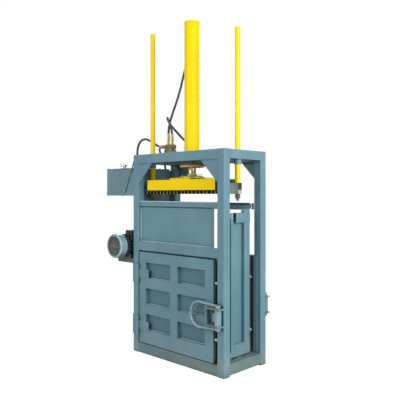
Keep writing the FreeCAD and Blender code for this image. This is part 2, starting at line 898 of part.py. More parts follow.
def make_ram():
    axis = ("0", "press_y", "0")
    crown = [
        ("0", "piston_top - piston_thick"),
        ("cylinder_bore / 2 - slide_gap", "piston_top - piston_thick"),
        ("cylinder_bore / 2 - slide_gap", "piston_top"),
        ("0", "piston_top"),
    ]
    node(turned("piston", "Z", crown, axis), "piston")
    rod_foot = "hub_flange_top + hub_collar_tall"
    rod = round_bar(
        "piston_rod", "Z", ("0", "press_y", rod_foot), "rod_outer", f"piston_top - piston_thick - ({rod_foot})"
    )
    node(rod, "piston_rod")

    hub = new_body("rod_hub")
    outline = [
        ("0", "hub_bottom"),
        ("hub_outer / 2", "hub_bottom"),
        ("hub_outer / 2", "hub_flange_top"),
        ("hub_collar_outer / 2 + hub_collar_flare", "hub_flange_top"),
        ("hub_collar_outer / 2", "hub_flange_top + hub_collar_flare"),
        ("hub_collar_outer / 2", rod_foot),
        ("0", rod_foot),
    ]
    sketch = sketch_on(hub, "Y", [outline], "0")
    feature = hub.newObject("PartDesign::Revolution", "Turned")
    feature.Profile = sketch
    feature.ReferenceAxis = (sketch, ["V_Axis"])
    feature.Angle = 360
    put(hub, "Z", axis)
    bolt = pad(
        hub,
        "Z",
        [("hub_bolt_circle / 2", "0", "hub_bolt_outer / 2")],
        "hub_flange_top",
        "hub_flange_top + hub_bolt_tall",
    )
    ring = hub.newObject("PartDesign::PolarPattern", "BoltRing")
    ring.Originals = [bolt]
    ring.Axis = (sketch, ["V_Axis"])
    ring.Angle = 360
    ring.Occurrences = 6
    hub.Tip = ring
    node(hub, "rod_hub")


def make_platen():
    """Two yellow tubes front and rear, two cross members under the hub plate, and the comb below."""
    long = ("-platen_beam_half", "platen_beam_half")
    tall = ("comb_top", "platen_top")
    ring = [
        rectangle(long, ("platen_front", "platen_rear")),
        rectangle(
            inset(long, "platen_beam_wall"),
            inset(("platen_front", "platen_rear"), "platen_beam_wide"),
        ),
    ]
    rim = prism("platen_rim", "Z", ring, *tall)
    crossing = [
        rectangle(
            around(f"{left_right} * hub_plate_half", "platen_beam_wide"),
            inset(("platen_front", "platen_rear"), "platen_beam_wide"),
        )
        for side, left_right in SIDES
    ]
    cross = prism("platen_cross", "Z", crossing, *tall)
    plate = prism(
        "hub_plate",
        "Z",
        [
            rectangle(
                ("-hub_plate_half", "hub_plate_half"),
                inset(("platen_front", "platen_rear"), "platen_beam_wall"),
            )
        ],
        "platen_top",
        "hub_bottom",
    )
    node(fuse("platen_beam", [rim, cross, plate]), "platen_beam")

    sole = new_body("platen_sole")
    span = ("-platen_sole_half", "platen_sole_half")
    pad(sole, "Y", [rectangle(span, ("comb_top - comb_plate_thick", "comb_top"))], "platen_front", "platen_rear")
    first = "-comb_pitch * (comb_count - 1) / 2"
    bars = [
        rectangle(
            around(f"{first} + {side} * (comb_channel_wide - comb_bar_thick) / 2", "comb_bar_thick"),
            ("platen_bottom", "comb_top - comb_plate_thick"),
        )
        for side in (-1, 1)
    ]
    tooth = pad(sole, "Y", bars, "platen_front", "platen_rear")
    comb = sole.newObject("PartDesign::LinearPattern", "Comb")
    comb.Originals = [tooth]
    comb.Direction = (tooth.Profile[0], ["H_Axis"])
    comb.setExpression("Length", tied("comb_pitch * (comb_count - 1)"))
    comb.Occurrences = int(size("comb_count"))
    sole.Tip = comb
    node(sole, "platen_sole")


def make_arms():
    """Box arms that carry the platen's ends through the wall slots to the guide rods."""
    for side, left_right in SIDES:
        name = f"platen_ear_{side}"
        deep = around("press_y", "arm_wide")
        ends = (f"{left_right} * platen_beam_half", f"{left_right} * arm_reach")
        outline = rectangle(ends, ("platen_bottom", "arm_top"))
        arm = prism(f"{name}_blank", "Y", [outline], *deep)
        under_sole = prism(
            f"{name}_seat",
            "Y",
            [
                rectangle(
                    (f"{left_right} * platen_beam_half", f"{left_right} * platen_sole_half"),
                    ("platen_bottom", "comb_top"),
                )
            ],
            *deep,
        )
        bore = round_bar(
            f"{name}_bore",
            "Z",
            (f"{left_right} * guide_x", "press_y", "platen_bottom"),
            "guide_stud_outer + 2 * slide_gap",
            "arm_tall",
        )
        node(cut(name, arm, [under_sole, bore]), name)


def make_guide_rods():
    stud_foot = "platen_bottom - guide_stud_drop"
    for side, left_right in SIDES:
        name = f"guide_rod_{side}"
        top = f"guide_top_{side}"
        outline = [
            ("0", stud_foot),
            ("guide_stud_outer / 2", stud_foot),
            ("guide_stud_outer / 2", "arm_top"),
            ("rod_guide_outer / 2", "arm_top"),
            ("rod_guide_outer / 2", f"{top} - guide_end_chamfer"),
            ("rod_guide_outer / 2 - guide_end_chamfer", top),
            ("0", top),
        ]
        node(turned(name, "Z", outline, (f"{left_right} * guide_x", "press_y", "0")), name)
    nuts = []
    for side, left_right in SIDES:
        for count in (1, 2):
            nuts.append(hex_nut(f"nut_{side}_{count}", left_right, count))
    node(group("guide_rod_nuts", nuts), "guide_rod_nuts")


def hex_nut(name, left_right, count):
    """One nut on a guide rod's stud, the first against the arm and the second locked under it."""
    top = f"platen_bottom - {count - 1} * (guide_nut_tall + 2 * slide_gap)"
    corners = []
    for corner in range(6):
        angle = math.radians(60 * corner + 30)
        radius = "guide_nut_across / sqrt(3)"
        corners.append(
            (
                f"{left_right} * guide_x + {math.cos(angle):.6f} * {radius}",
                f"press_y + {math.sin(angle):.6f} * {radius}",
            )
        )
    hole = (f"{left_right} * guide_x", "press_y", "guide_stud_outer / 2 + slide_gap")
    return prism(name, "Z", [corners, hole], f"{top} - guide_nut_tall", top)


# ---------------------------------------------------------------- doors
def window_loops():
    """Three rows of two recessed windows between the door's stiles."""
    width = "((door_left + door_right - 3 * door_stile) / 2)"
    loops = []
    for column in (0, 1):
        left = f"-door_left + door_stile + {column} * ({width} + door_stile)"
        for row in (0, 1, 2):
            low = f"window_first + {row} * window_pitch"
            loops.append(rectangle((left, f"{left} + {width}"), (low, f"{low} + window_tall")))
    return loops


def ordered(front_rear, near, far):
    """A range that runs outward from the chamber, written low end first."""
    if front_rear < 0:
        return (f"-({far})", f"-({near})")
    return (near, far)


def door_leaf(name, front_rear):
    """The stile grid in front of a back sheet, with hinge straps and latch lugs welded on."""
    outer = "frame_depth / 2"
    leaf = new_body(f"{name}_leaf")
    outline = rectangle(("-door_left", "door_right"), ("door_bottom", "door_top"))
    pad(leaf, "Y", [outline], *ordered(front_rear, f"{outer} - door_thick", outer))
    depth = f"{outer} - door_thick + door_sheet" if front_rear < 0 else f"{outer} - door_thick"
    pocket(leaf, "Y", window_loops(), *ordered(front_rear, depth, outer))
    return leaf


def hinge_pieces(name, front_rear):
    """The door's strap and knuckle at each hinge."""
    out = f"{front_rear} * hinge_out"
    strap_span = ordered(front_rear, "frame_depth / 2", "frame_depth / 2 + hinge_strap_thick")
    pieces = []
    for label in ("low", "high"):
        tall = around(f"hinge_{label}", "hinge_strap_tall")
        pieces.append(
            prism(
                f"{name}_strap_{label}",
                "Z",
                [rectangle(("-hinge_x", "-hinge_x + hinge_strap_long"), strap_span)],
                *tall,
            )
        )
        pieces.append(
            round_bar(
                f"{name}_knuckle_{label}",
                "Z",
                ("-hinge_x", out, tall[0]),
                "hinge_knuckle_outer",
                "hinge_strap_tall",
            )
        )
    return pieces


def hinge_bores(name, front_rear):
    out = f"{front_rear} * hinge_out"
    return [
        round_bar(
            f"{name}_bore_{label}",
            "Z",
            ("-hinge_x", out, f"hinge_{label} - hinge_tall / 2"),
            "hinge_pin_outer + 2 * pin_gap",
            "hinge_tall",
        )
        for label in ("low", "high")
    ]


def latch_rise(front_rear):
    return "rear_latch_rise" if front_rear > 0 else "0"


def lug_pieces(name, front_rear):
    """Two lugs that hold the latch's pin, joined by a web on the door's face."""
    rise = latch_rise(front_rear)
    face = "frame_depth / 2"
    out = f"{face} + latch_lug_deep"
    clear = f"{face} + latch_stand_off - latch_tube_outer / 2"
    outline = [
        ("latch_lug_left", f"{front_rear} * ({face})"),
        ("door_right", f"{front_rear} * ({face})"),
        ("door_right + latch_post_gap", f"{front_rear} * ({clear})"),
        ("latch_lug_right", f"{front_rear} * ({clear})"),
        ("latch_lug_right", f"{front_rear} * ({out} - latch_lug_corner)"),
        ("latch_lug_right - latch_lug_corner", f"{front_rear} * ({out})"),
        ("latch_lug_left + latch_lug_slope", f"{front_rear} * ({out})"),
        ("latch_lug_left", f"{front_rear} * ({face} + latch_lug_corner)"),
    ]
    bore = ("latch_x", f"{front_rear} * latch_out", "latch_pin_outer / 2 + pin_gap")
    below = f"latch_low + {rise} - latch_running_gap"
    above = f"latch_high + {rise} + latch_running_gap"
    lugs = [
        prism(f"{name}_lug_low", "Z", [outline, bore], f"{below} - latch_lug_thick", below),
        prism(f"{name}_lug_high", "Z", [outline, bore], above, f"{above} + latch_lug_thick"),
    ]
    web = rectangle(
        ("door_right - latch_web_inset", "door_right - latch_web_inset + latch_web_wide"),
        (f"{front_rear} * ({face})", f"{front_rear} * ({out} - latch_lug_corner)"),
    )
    return [*lugs, prism(f"{name}_lug_web", "Z", [web], below, above)]


def make_front_door():
    pieces = [door_leaf("front_door", -1), *hinge_pieces("front_door", -1), *lug_pieces("front_door", -1)]
    whole = fuse("front_door_blank", pieces)
    node(cut("front_door", whole, hinge_bores("front_door", -1)), "front_door")


def make_rear_door():
    """The rear door's leaf is open to a deep pan, which brings its inner face up to the bale."""
    plane = "frame_depth / 2 - door_thick"
    inner = f"{plane} - rear_pan_deep"
    tall = ("door_bottom + rear_pan_foot", "door_top - rear_pan_sheet")
    across = ("-door_left + rear_pan_edge", "door_right - rear_pan_sheet - rear_pan_gap")
    pan = new_body("rear_door_pan")
    pad(pan, "Y", [rectangle(across, tall)], inner, plane)
    hollow = rectangle(inset(across, "rear_pan_sheet"), inset(tall, "rear_pan_sheet"))
    pocket(pan, "Y", [hollow], f"{inner} + rear_pan_sheet", plane)
    pieces = [
        door_leaf("rear_door", 1),
        pan,
        *hinge_pieces("rear_door", 1),
        *lug_pieces("rear_door", 1),
    ]
    whole = fuse("rear_door_blank", pieces)
    node(cut("rear_door", whole, hinge_bores("rear_door", 1)), "rear_door")


def make_hinge_brackets():
    """Leaves on the post with a knuckle above and below the door's, and the pin through all three."""
    for end, front_rear in ENDS:
        name = f"{end}_hinge_brackets"
        out = f"{front_rear} * hinge_out"
        plate = ordered(front_rear, "frame_depth / 2", "frame_depth / 2 + hinge_strap_thick")
        brackets = []
        for label in ("low", "high"):
            low, high = around(f"hinge_{label}", "hinge_tall")
            gap_low, gap_high = around(f"hinge_{label}", "hinge_strap_tall + 2 * hinge_gap")
            near = "-hinge_x"
            clear = "-hinge_x - hinge_knuckle_outer / 2 - hinge_leaf_gap"
            far = "-hinge_x - hinge_knuckle_outer / 2 - hinge_leaf_long"
            leaf = [
                (far, low),
                (near, low),
                (near, gap_low),
                (clear, gap_low),
                (clear, gap_high),
                (near, gap_high),
                (near, high),
                (far, high),
            ]
            part = f"{name}_{label}"
            brackets.append(
                fuse(
                    part,
                    [
                        prism(f"{part}_leaf", "Y", [leaf], *plate),
                        round_bar(
                            f"{part}_knuckle_low",
                            "Z",
                            ("-hinge_x", out, low),
                            "hinge_knuckle_outer",
                            f"({gap_low}) - ({low})",
                        ),
                        round_bar(
                            f"{part}_knuckle_high",
                            "Z",
                            ("-hinge_x", out, gap_high),
                            "hinge_knuckle_outer",
                            f"({high}) - ({gap_high})",
                        ),
                        round_bar(f"{part}_pin", "Z", ("-hinge_x", out, low), "hinge_pin_outer", "hinge_tall"),
                    ],
                )
            )
        node(group(name, brackets), name)


def make_latches():
    """The latch tube with its tongue, and the bent handle on the ends of the same pin."""
    for end, front_rear in ENDS:
        rise = latch_rise(front_rear)
        out = f"{front_rear} * latch_out"
        low = f"latch_low + {rise}"
        tube = round_bar(f"{end}_latch_tube", "Z", ("latch_x", out, low), "latch_tube_outer", "latch_tube_tall")
        beyond = "(latch_running_gap + latch_lug_thick + handle_eye_tall + latch_pin_proud)"
        pin = round_bar(
            f"{end}_latch_pin",
            "Z",
            ("latch_x", out, f"{low} - {beyond}"),
            "latch_pin_outer",
            f"latch_tube_tall + 2 * {beyond}",
        )
        near = "post_inner_x - latch_post_gap"
        inner = f"{near} - latch_tongue_thick"
        tip_right = f"{near} - latch_tongue_taper"
        tip = f"{front_rear} * (frame_depth / 2 - latch_tongue_deep)"
        bevel = f"{front_rear} * (frame_depth / 2 - latch_tongue_deep + latch_tongue_bevel)"
        root_out = f"{front_rear} * (latch_out + latch_tongue_root / 2)"
        root_in = f"{front_rear} * (latch_out - latch_tongue_root / 2)"
        tongue = [
            ("latch_x", root_out),
            (inner, root_out),
            (inner, bevel),
            (f"{tip_right} - latch_tongue_tip", tip),
            (tip_right, tip),
            (near, f"{front_rear} * frame_depth / 2"),
            (near, root_in),
            ("latch_x", root_in),
        ]
        tall = around(f"{low} + latch_tube_tall / 2", "latch_tongue_tall")
        blade = prism(f"{end}_latch_tongue", "Z", [tongue], *tall)
        name = f"{end}_latch_cam"
        node(fuse(name, [tube, pin, blade]), name)
        make_handle(end, front_rear, low)


def make_handle(end, front_rear, low):
    """A round bar bent to a U, with an eye on each end that grips the latch's pin."""
    name = f"{end}_latch_handle"
    out = size(f"{front_rear} * latch_out")
    eye_gap = "(latch_running_gap + latch_lug_thick + handle_eye_gap)"
    low_leg = f"{low} - {eye_gap} - handle_eye_tall / 2"
    high_leg = f"{low} + latch_tube_tall + {eye_gap} + handle_eye_tall / 2"
    bend = size("handle_bend")
    left = size("handle_reach")
    right = size("latch_x - (latch_pin_outer + handle_bar_outer) / 4 - handle_leg_gap")
    bottom, top = size(low_leg), size(high_leg)
    route = [Vector(right, out, bottom), Vector(left, out, bottom), Vector(left, out, top), Vector(right, out, top)]
    bar = doc.addObject("Part::Feature", f"{name}_bar")
    bar.Shape = bent_bar(route, bend, size("handle_bar_outer"))
    eyes = []
    for label, leg in (("low", low_leg), ("high", high_leg)):
        bore = "latch_pin_outer / 2 + pin_gap"
        outline = rectangle(
            (bore, "handle_eye_outer / 2"),
            (f"{leg} - handle_eye_tall / 2", f"{leg} + handle_eye_tall / 2"),
        )
        eyes.append(turned(f"{name}_eye_{label}", "Z", outline, ("latch_x", f"{front_rear} * latch_out", "0")))
    node(fuse(name, [bar, *eyes]), name)


def bent_bar(route, bend, outer):
    """Straight runs joined by tangent arcs of one radius, swept with a round section."""
    return sweep_round(route, [bend] * (len(route) - 2), outer)


def sweep_round(route, radii, outer):
    edges = []
    start = route[0]
    for before, corner, after, radius in zip(route, route[1:], route[2:], radii):
        towards = (corner - before).normalize()
        away = (after - corner).normalize()
        half_turn = towards.getAngle(away) / 2
        reach = radius * math.tan(half_turn)
        first = corner - towards * reach
        last = corner + away * reach
        inward = (away - towards).normalize()
        middle = corner + inward * (radius / math.cos(half_turn) - radius)
        edges.append(Part.LineSegment(start, first).toShape())
        edges.append(Part.Arc(first, middle, last).toShape())
        start = last
    edges.append(Part.LineSegment(start, route[-1]).toShape())
    path = Part.Wire(edges)
    along = (route[1] - route[0]).normalize()
    section = Part.Wire([Part.Circle(route[0], along, outer / 2).toShape()])
    return path.makePipe(Part.Face(section))


# ---------------------------------------------------------------- oil tank
def make_tank():
    across = ("-tank_left", "-tank_right")
    deep = ("tank_front", "tank_rear")
    tank = new_body("oil_tank")
    pad(tank, "Z", [rectangle(across, deep)], "tank_bottom", "tank_top - tank_lid_thick")
    lid = rectangle(
        ("-tank_left - tank_lid_lip", "-tank_right + tank_lid_lip"),
        ("tank_front - tank_lid_lip", "tank_rear + tank_lid_lip"),
    )
    pad(tank, "Z", [lid], "tank_top - tank_lid_thick", "tank_top")
    node(tank, "oil_tank")

    shelf = new_body("tank_shelf_tray")
    span = ("-tank_left", "-frame_width / 2")
    reach = ("shelf_front", "shelf_rear")
    pad(shelf, "Z", [rectangle(span, reach)], "tank_bottom - shelf_tall", "tank_bottom")
    pocket(
        shelf,
        "Z",
        [rectangle(inset(span, "shelf_thick"), inset(reach, "shelf_thick"))],
        "tank_bottom - shelf_tall",
        "tank_bottom - shelf_thick",
    )
    half = "strut_wide / 2"
    strut = [
        ("-frame_width / 2", f"strut_top - {half}"),
        ("-frame_width / 2", f"strut_top + {half}"),
        (f"-strut_foot_x + {half}", "tank_bottom - shelf_tall"),
        (f"-strut_foot_x - {half}", "tank_bottom - shelf_tall"),
    ]
    brace = prism("tank_strut", "Y", [strut], "front", "shelf_front")
    node(fuse("tank_shelf", [shelf, brace]), "tank_shelf")

    cap = [
        ("0", "tank_top"),
        ("filler_outer / 2 - filler_neck_step", "tank_top"),
        ("filler_outer / 2 - filler_neck_step", "tank_top + filler_tall / 2"),
        ("filler_outer / 2", "tank_top + filler_tall / 2 + filler_chamfer"),
        ("filler_outer / 2", "tank_top + filler_tall - filler_chamfer"),
        ("filler_outer / 2 - filler_chamfer", "tank_top + filler_tall"),
        ("0", "tank_top + filler_tall"),
    ]
    node(turned("filler_cap", "Z", cap, ("-filler_x", "front + filler_back", "0")), "filler_cap")


# ---------------------------------------------------------------- motor and pump
def make_power_shelf():
    shelf = new_body("power_shelf")
    span = ("-power_shelf_left", "-frame_width / 2")
    reach = ("front", "rear")
    low, high = "power_shelf_top - power_shelf_tall", "power_shelf_top"
    pad(shelf, "Z", [rectangle(span, reach)], low, high)
    hollow = rectangle(inset(span, "shelf_thick"), inset(reach, "shelf_thick"))
    pocket(shelf, "Z", [hollow], low, f"{high} - shelf_thick")
    node(shelf, "power_shelf")


def make_motor():
    """The finned housing with its end flange, feet and terminal box, bored for the shaft."""
    core = round_bar(
        "motor_core", "Y", ("-motor_x", "housing_front", "motor_axis"), "motor_core_outer", "motor_long"
    )
    flange = round_bar(
        "motor_flange",
        "Y",
        ("-motor_x", "housing_rear - motor_flange_thick", "motor_axis"),
        "motor_fin_outer",
        "motor_flange_thick",
    )
    count = int(size("motor_fin_count"))
    inner = "motor_core_outer / 2 - motor_fin_root"
    fins = [
        spoke(
            f"motor_fin_{number}",
            360.0 * number / count,
            (inner, f"motor_fin_outer / 2 - ({inner})"),
            ("housing_front", "motor_long - motor_fin_end_gap"),
            "motor_fin_thick",
        )
        for number in range(count)
    ]
    feet = []
    foot_top = "power_shelf_top + motor_foot_thick"
    for label, place in (("front", "housing_front + motor_foot_inset"), ("rear", "housing_rear - motor_foot_inset")):
        outline = [
            ("-motor_x - motor_foot_half", "power_shelf_top"),
            ("-motor_x + motor_foot_half", "power_shelf_top"),
            ("-motor_x + motor_foot_half", foot_top),
            ("-motor_x + motor_foot_waist", "motor_axis - motor_foot_drop"),
            ("-motor_x - motor_foot_waist", "motor_axis - motor_foot_drop"),
            ("-motor_x - motor_foot_half", foot_top),
        ]
        feet.append(prism(f"motor_foot_{label}", "Y", [outline], *around(place, "motor_foot_wide")))
    box_span = around("-motor_x + terminal_box_aside", "terminal_box_size")
    box = prism(
        "terminal_box",
        "Y",
        [rectangle(box_span, ("motor_axis + motor_foot_drop", "motor_axis + terminal_box_rise"))],
        "housing_front + terminal_box_inset",
        "housing_front + terminal_box_inset + terminal_box_size",
    )
    bore = round_bar(
        "motor_bore",
        "Y",
        ("-motor_x", "housing_front", "motor_axis"),
        "motor_shaft_outer + 2 * slide_gap",
        "motor_long",
    )
    housing = cut("motor_housing", fuse("motor_blank", [core, flange, *fins, *feet, box]), [bore])
    node(housing, "motor_housing")
    make_fan_cover()
    make_rotor()


def spoke(name, angle, radial, along, thick):
    """A flat blade that stands out from the motor's axis; radial and along are a start and a length."""
    blade = doc.addObject("Part::Box", name)
    blade.setExpression("Length", tied(radial[1]))
    blade.setExpression("Width", tied(thick))
    blade.setExpression("Height", tied(along[1]))
    turn = FreeCAD.Rotation(Vector(0, 1, 0), angle) * TURNS["Y"]
    blade.Placement = FreeCAD.Placement(Vector(), turn)
    outward = turn.multVec(Vector(1, 0, 0))
    across = turn.multVec(Vector(0, 1, 0))
    for letter, start in (("x", "-motor_x"), ("y", along[0]), ("z", "motor_axis")):
        out = getattr(outward, letter)
        side = getattr(across, letter)
        place = f"({start}) + {out:.9f} * ({radial[0]}) - {side:.9f} * ({thick}) / 2"
        blade.setExpression(f"Placement.Base.{letter}", tied(place.replace("+ -", "- ").replace("- -", "+ ")))
    return blade


def make_fan_cover():
    """A pressed cup with a ring grille in its front face."""
    outer, wall = "fan_cover_outer / 2", "fan_cover_thick"
    cup = [
        ("fan_grille_outer / 2", "0"),
        (f"{outer} - fan_cover_bend", "0"),
        (outer, "fan_cover_bend"),
        (outer, "fan_cover_long"),
        (f"{outer} - {wall}", "fan_cover_long"),
        (f"{outer} - {wall}", f"fan_cover_bend + {wall} / 2"),
        (f"{outer} - fan_cover_bend - {wall} / 2", wall),
        ("fan_grille_outer / 2", wall),
    ]
    place = ("-motor_x", "motor_face", "motor_axis")
    pieces = [turned("fan_cover_cup", "Y", cup, place)]
    for number, share in enumerate((0.2, 0.4, 0.6, 0.8)):
        ring = rectangle(around(f"fan_grille_outer / 2 * {share}", "fan_wire_thick"), ("0", wall))
        pieces.append(turned(f"fan_ring_{number}", "Y", ring, place))
    reach = "fan_grille_outer + 2 * fan_wire_thick"
    upright = rectangle(around("-motor_x", "fan_wire_thick"), around("motor_axis", reach))
    level = rectangle(around("-motor_x", reach), around("motor_axis", "fan_wire_thick"))
    for label, outline in (("up", upright), ("across", level)):
        pieces.append(prism(f"fan_spoke_{label}", "Y", [outline], "motor_face", f"motor_face + {wall}"))
    seat = rectangle(
        ("fan_seat_bore / 2", f"{outer} - {wall}"), ("fan_cover_long - fan_seat_deep", "fan_cover_long")
    )
    pieces.append(turned("fan_cover_seat", "Y", seat, place))
    node(fuse("fan_cover", pieces), "fan_cover")


def make_rotor():
    """The motor's shaft with its cooling fan, seen through the grille."""
    shaft = round_bar(
        "rotor_shaft",
        "Y",
        ("-motor_x", "motor_face + motor_shaft_gap", "motor_axis"),
        "motor_shaft_outer",
        "motor_long + fan_cover_long - motor_shaft_gap + motor_shaft_proud",
    )
    hub = round_bar(
        "fan_hub", "Y", ("-motor_x", "motor_face + fan_hub_gap", "motor_axis"), "fan_hub_outer", "fan_hub_long"
    )
    blades = [
        spoke(
            f"fan_blade_{number}",
            60.0 * number,
            ("fan_blade_inner", "fan_blade_long"),
            ("motor_face + fan_hub_gap + 1", "fan_blade_deep"),
            "fan_blade_thick",
        )
        for number in range(6)
    ]
    node(fuse("motor_rotor", [shaft, hub, *blades]), "motor_rotor")


def make_pump():
    """The bell housing that spaces the pump from the motor, and the gear pump itself."""
    nose = "pump_bell_long - bell_nose_long"
    bell = [
        ("bell_bore / 2", "0"),
        ("bell_outer / 2", "0"),
        ("bell_outer / 2", "bell_rim_thick"),
        ("bell_nose_outer / 2", nose),
        ("bell_nose_outer / 2", "pump_bell_long"),
        ("0", "pump_bell_long"),
        ("0", nose),
        ("bell_bore / 2", nose),
    ]
    node(turned("bell_housing", "Y", bell, ("-motor_x", "housing_rear", "motor_axis")), "bell_housing")
    block = rectangle(
        around("-motor_x", "2 * pump_half"),
        ("motor_axis - pump_half - pump_foot_drop", "motor_axis + pump_half"),
    )
    body = prism("pump_block", "Y", [block], "bell_rear", "pump_rear")
    middle = "bell_rear + pump_long / 2"
    inlet = round_bar(
        "pump_inlet",
        "X",
        ("-motor_x - pump_half - pump_port_long", middle, "motor_axis"),
        "pump_port_outer",
        "pump_port_long + fitting_root",
    )
    outlet = round_bar(
        "pump_outlet",
        "Z",
        ("-motor_x", middle, "motor_axis + pump_half - fitting_root"),
        "pump_port_outer",
        "pump_port_long + fitting_root",
    )
    node(fuse("gear_pump", [body, inlet, outlet]), "gear_pump")


# ---------------------------------------------------------------- valve
def make_valve():
    """A plate on the left side beam, the spool block on it, and its four hose fittings."""
    deep = around("valve_y", "valve_plate_deep")
    plate = prism(
        "valve_plate",
        "Z",
        [rectangle(("-frame_width / 2", "-valve_plate_right"), deep)],
        "frame_height",
        "valve_plate_top",
    )
    block = prism(
        "valve_body",
        "Z",
        [rectangle(("-valve_left", "-valve_left + valve_wide"), around("valve_y", "valve_deep"))],
        "valve_plate_top",
        "valve_top",
    )
    ports = []
    for label, side in SIDES:
        outline = [
            ("0", "valve_top"),
            ("valve_port_outer / 2 + valve_hex_proud", "valve_top"),
            ("valve_port_outer / 2 + valve_hex_proud", "valve_top + valve_hex_tall"),
            ("valve_port_outer / 2 - valve_neck_inset", "valve_top + valve_hex_tall"),
            ("valve_port_outer / 2 - valve_neck_inset", "valve_top + valve_hex_tall + valve_neck_tall"),
            ("valve_port_outer / 2", "valve_top + valve_hex_tall + valve_neck_tall"),
            ("valve_port_outer / 2", "valve_port_top"),
            ("0", "valve_port_top"),
        ]
        place = (f"valve_middle + {side} * valve_port_pitch / 2", "valve_y", "0")
        ports.append(turned(f"valve_port_{label}", "Z", outline, place))
    for label, side in (("return", -1), ("pressure", 1)):
        place = (
            "-valve_left - side_port_long",
            f"valve_y + {side} * side_port_pitch / 2",
            "valve_plate_top + side_port_rise",
        )
        outer = "min(valve_port_outer; 2 * (valve_tall - side_port_rise))"
        ports.append(round_bar(f"valve_port_{label}", "X", place, outer, "side_port_long + fitting_root"))
    lug_near = "valve_middle - lever_lug_thick"
    lug_face = rectangle(
        ("valve_y + valve_deep / 2", "lever_y"),
        around("lever_z", "lever_eye_outer"),
    )
    lug = prism("lever_lug_plate", "X", [lug_face], lug_near, "valve_middle")
    lug_end = round_bar(
        "lever_lug_end", "X", (lug_near, "lever_y", "lever_z"), "lever_eye_outer", "lever_lug_thick"
    )
    pin = round_bar(
        "lever_pin", "X", (lug_near, "lever_y", "lever_z"), "lever_pin_outer", "3 * lever_lug_thick"
    )
    node(fuse("valve_block", [plate, block, *ports, lug, lug_end, pin]), "valve_block")

    eye = turned(
        "lever_eye",
        "X",
        rectangle(
            ("lever_pin_outer / 2 + pin_gap", "lever_eye_outer / 2"),
            ("slide_gap", "slide_gap + lever_eye_wide"),
        ),
        ("valve_middle", "lever_y", "lever_z"),
    )
    bar_x = "valve_middle + slide_gap + lever_eye_wide / 2"
    start = "lever_y + (lever_pin_outer + lever_eye_outer) / 4"
    stem = round_bar("lever_stem", "Y", (bar_x, start, "lever_z"), "lever_outer", "lever_long")
    knob = doc.addObject("Part::Sphere", "lever_knob")
    knob.setExpression("Radius", tied("lever_knob_outer / 2"))
    put(knob, "Y", (bar_x, f"{start} + lever_long", "lever_z"))
    node(fuse("valve_lever", [eye, stem, knob]), "valve_lever")


# ---------------------------------------------------------------- hoses
def hose(name, points):
    """A tube through hand-picked points, each corner rounded as far as its runs allow."""
    route = [Vector(*point) for point in points]
    radii = []
    for before, corner, after in zip(route, route[1:], route[2:]):
        shorter = min((corner - before).Length, (after - corner).Length)
        half_turn = (corner - before).getAngle(after - corner) / 2
        radii.append(0.45 * shorter / math.tan(half_turn))
    outer = size("hose_outer")
    tube = doc.addObject("Part::Feature", name)
    tube.Shape = sweep_round(route, radii, outer)
    print(name, "radii", [round(radius) for radius in radii], "volume", round(tube.Shape.Volume))
    return node(tube, name)


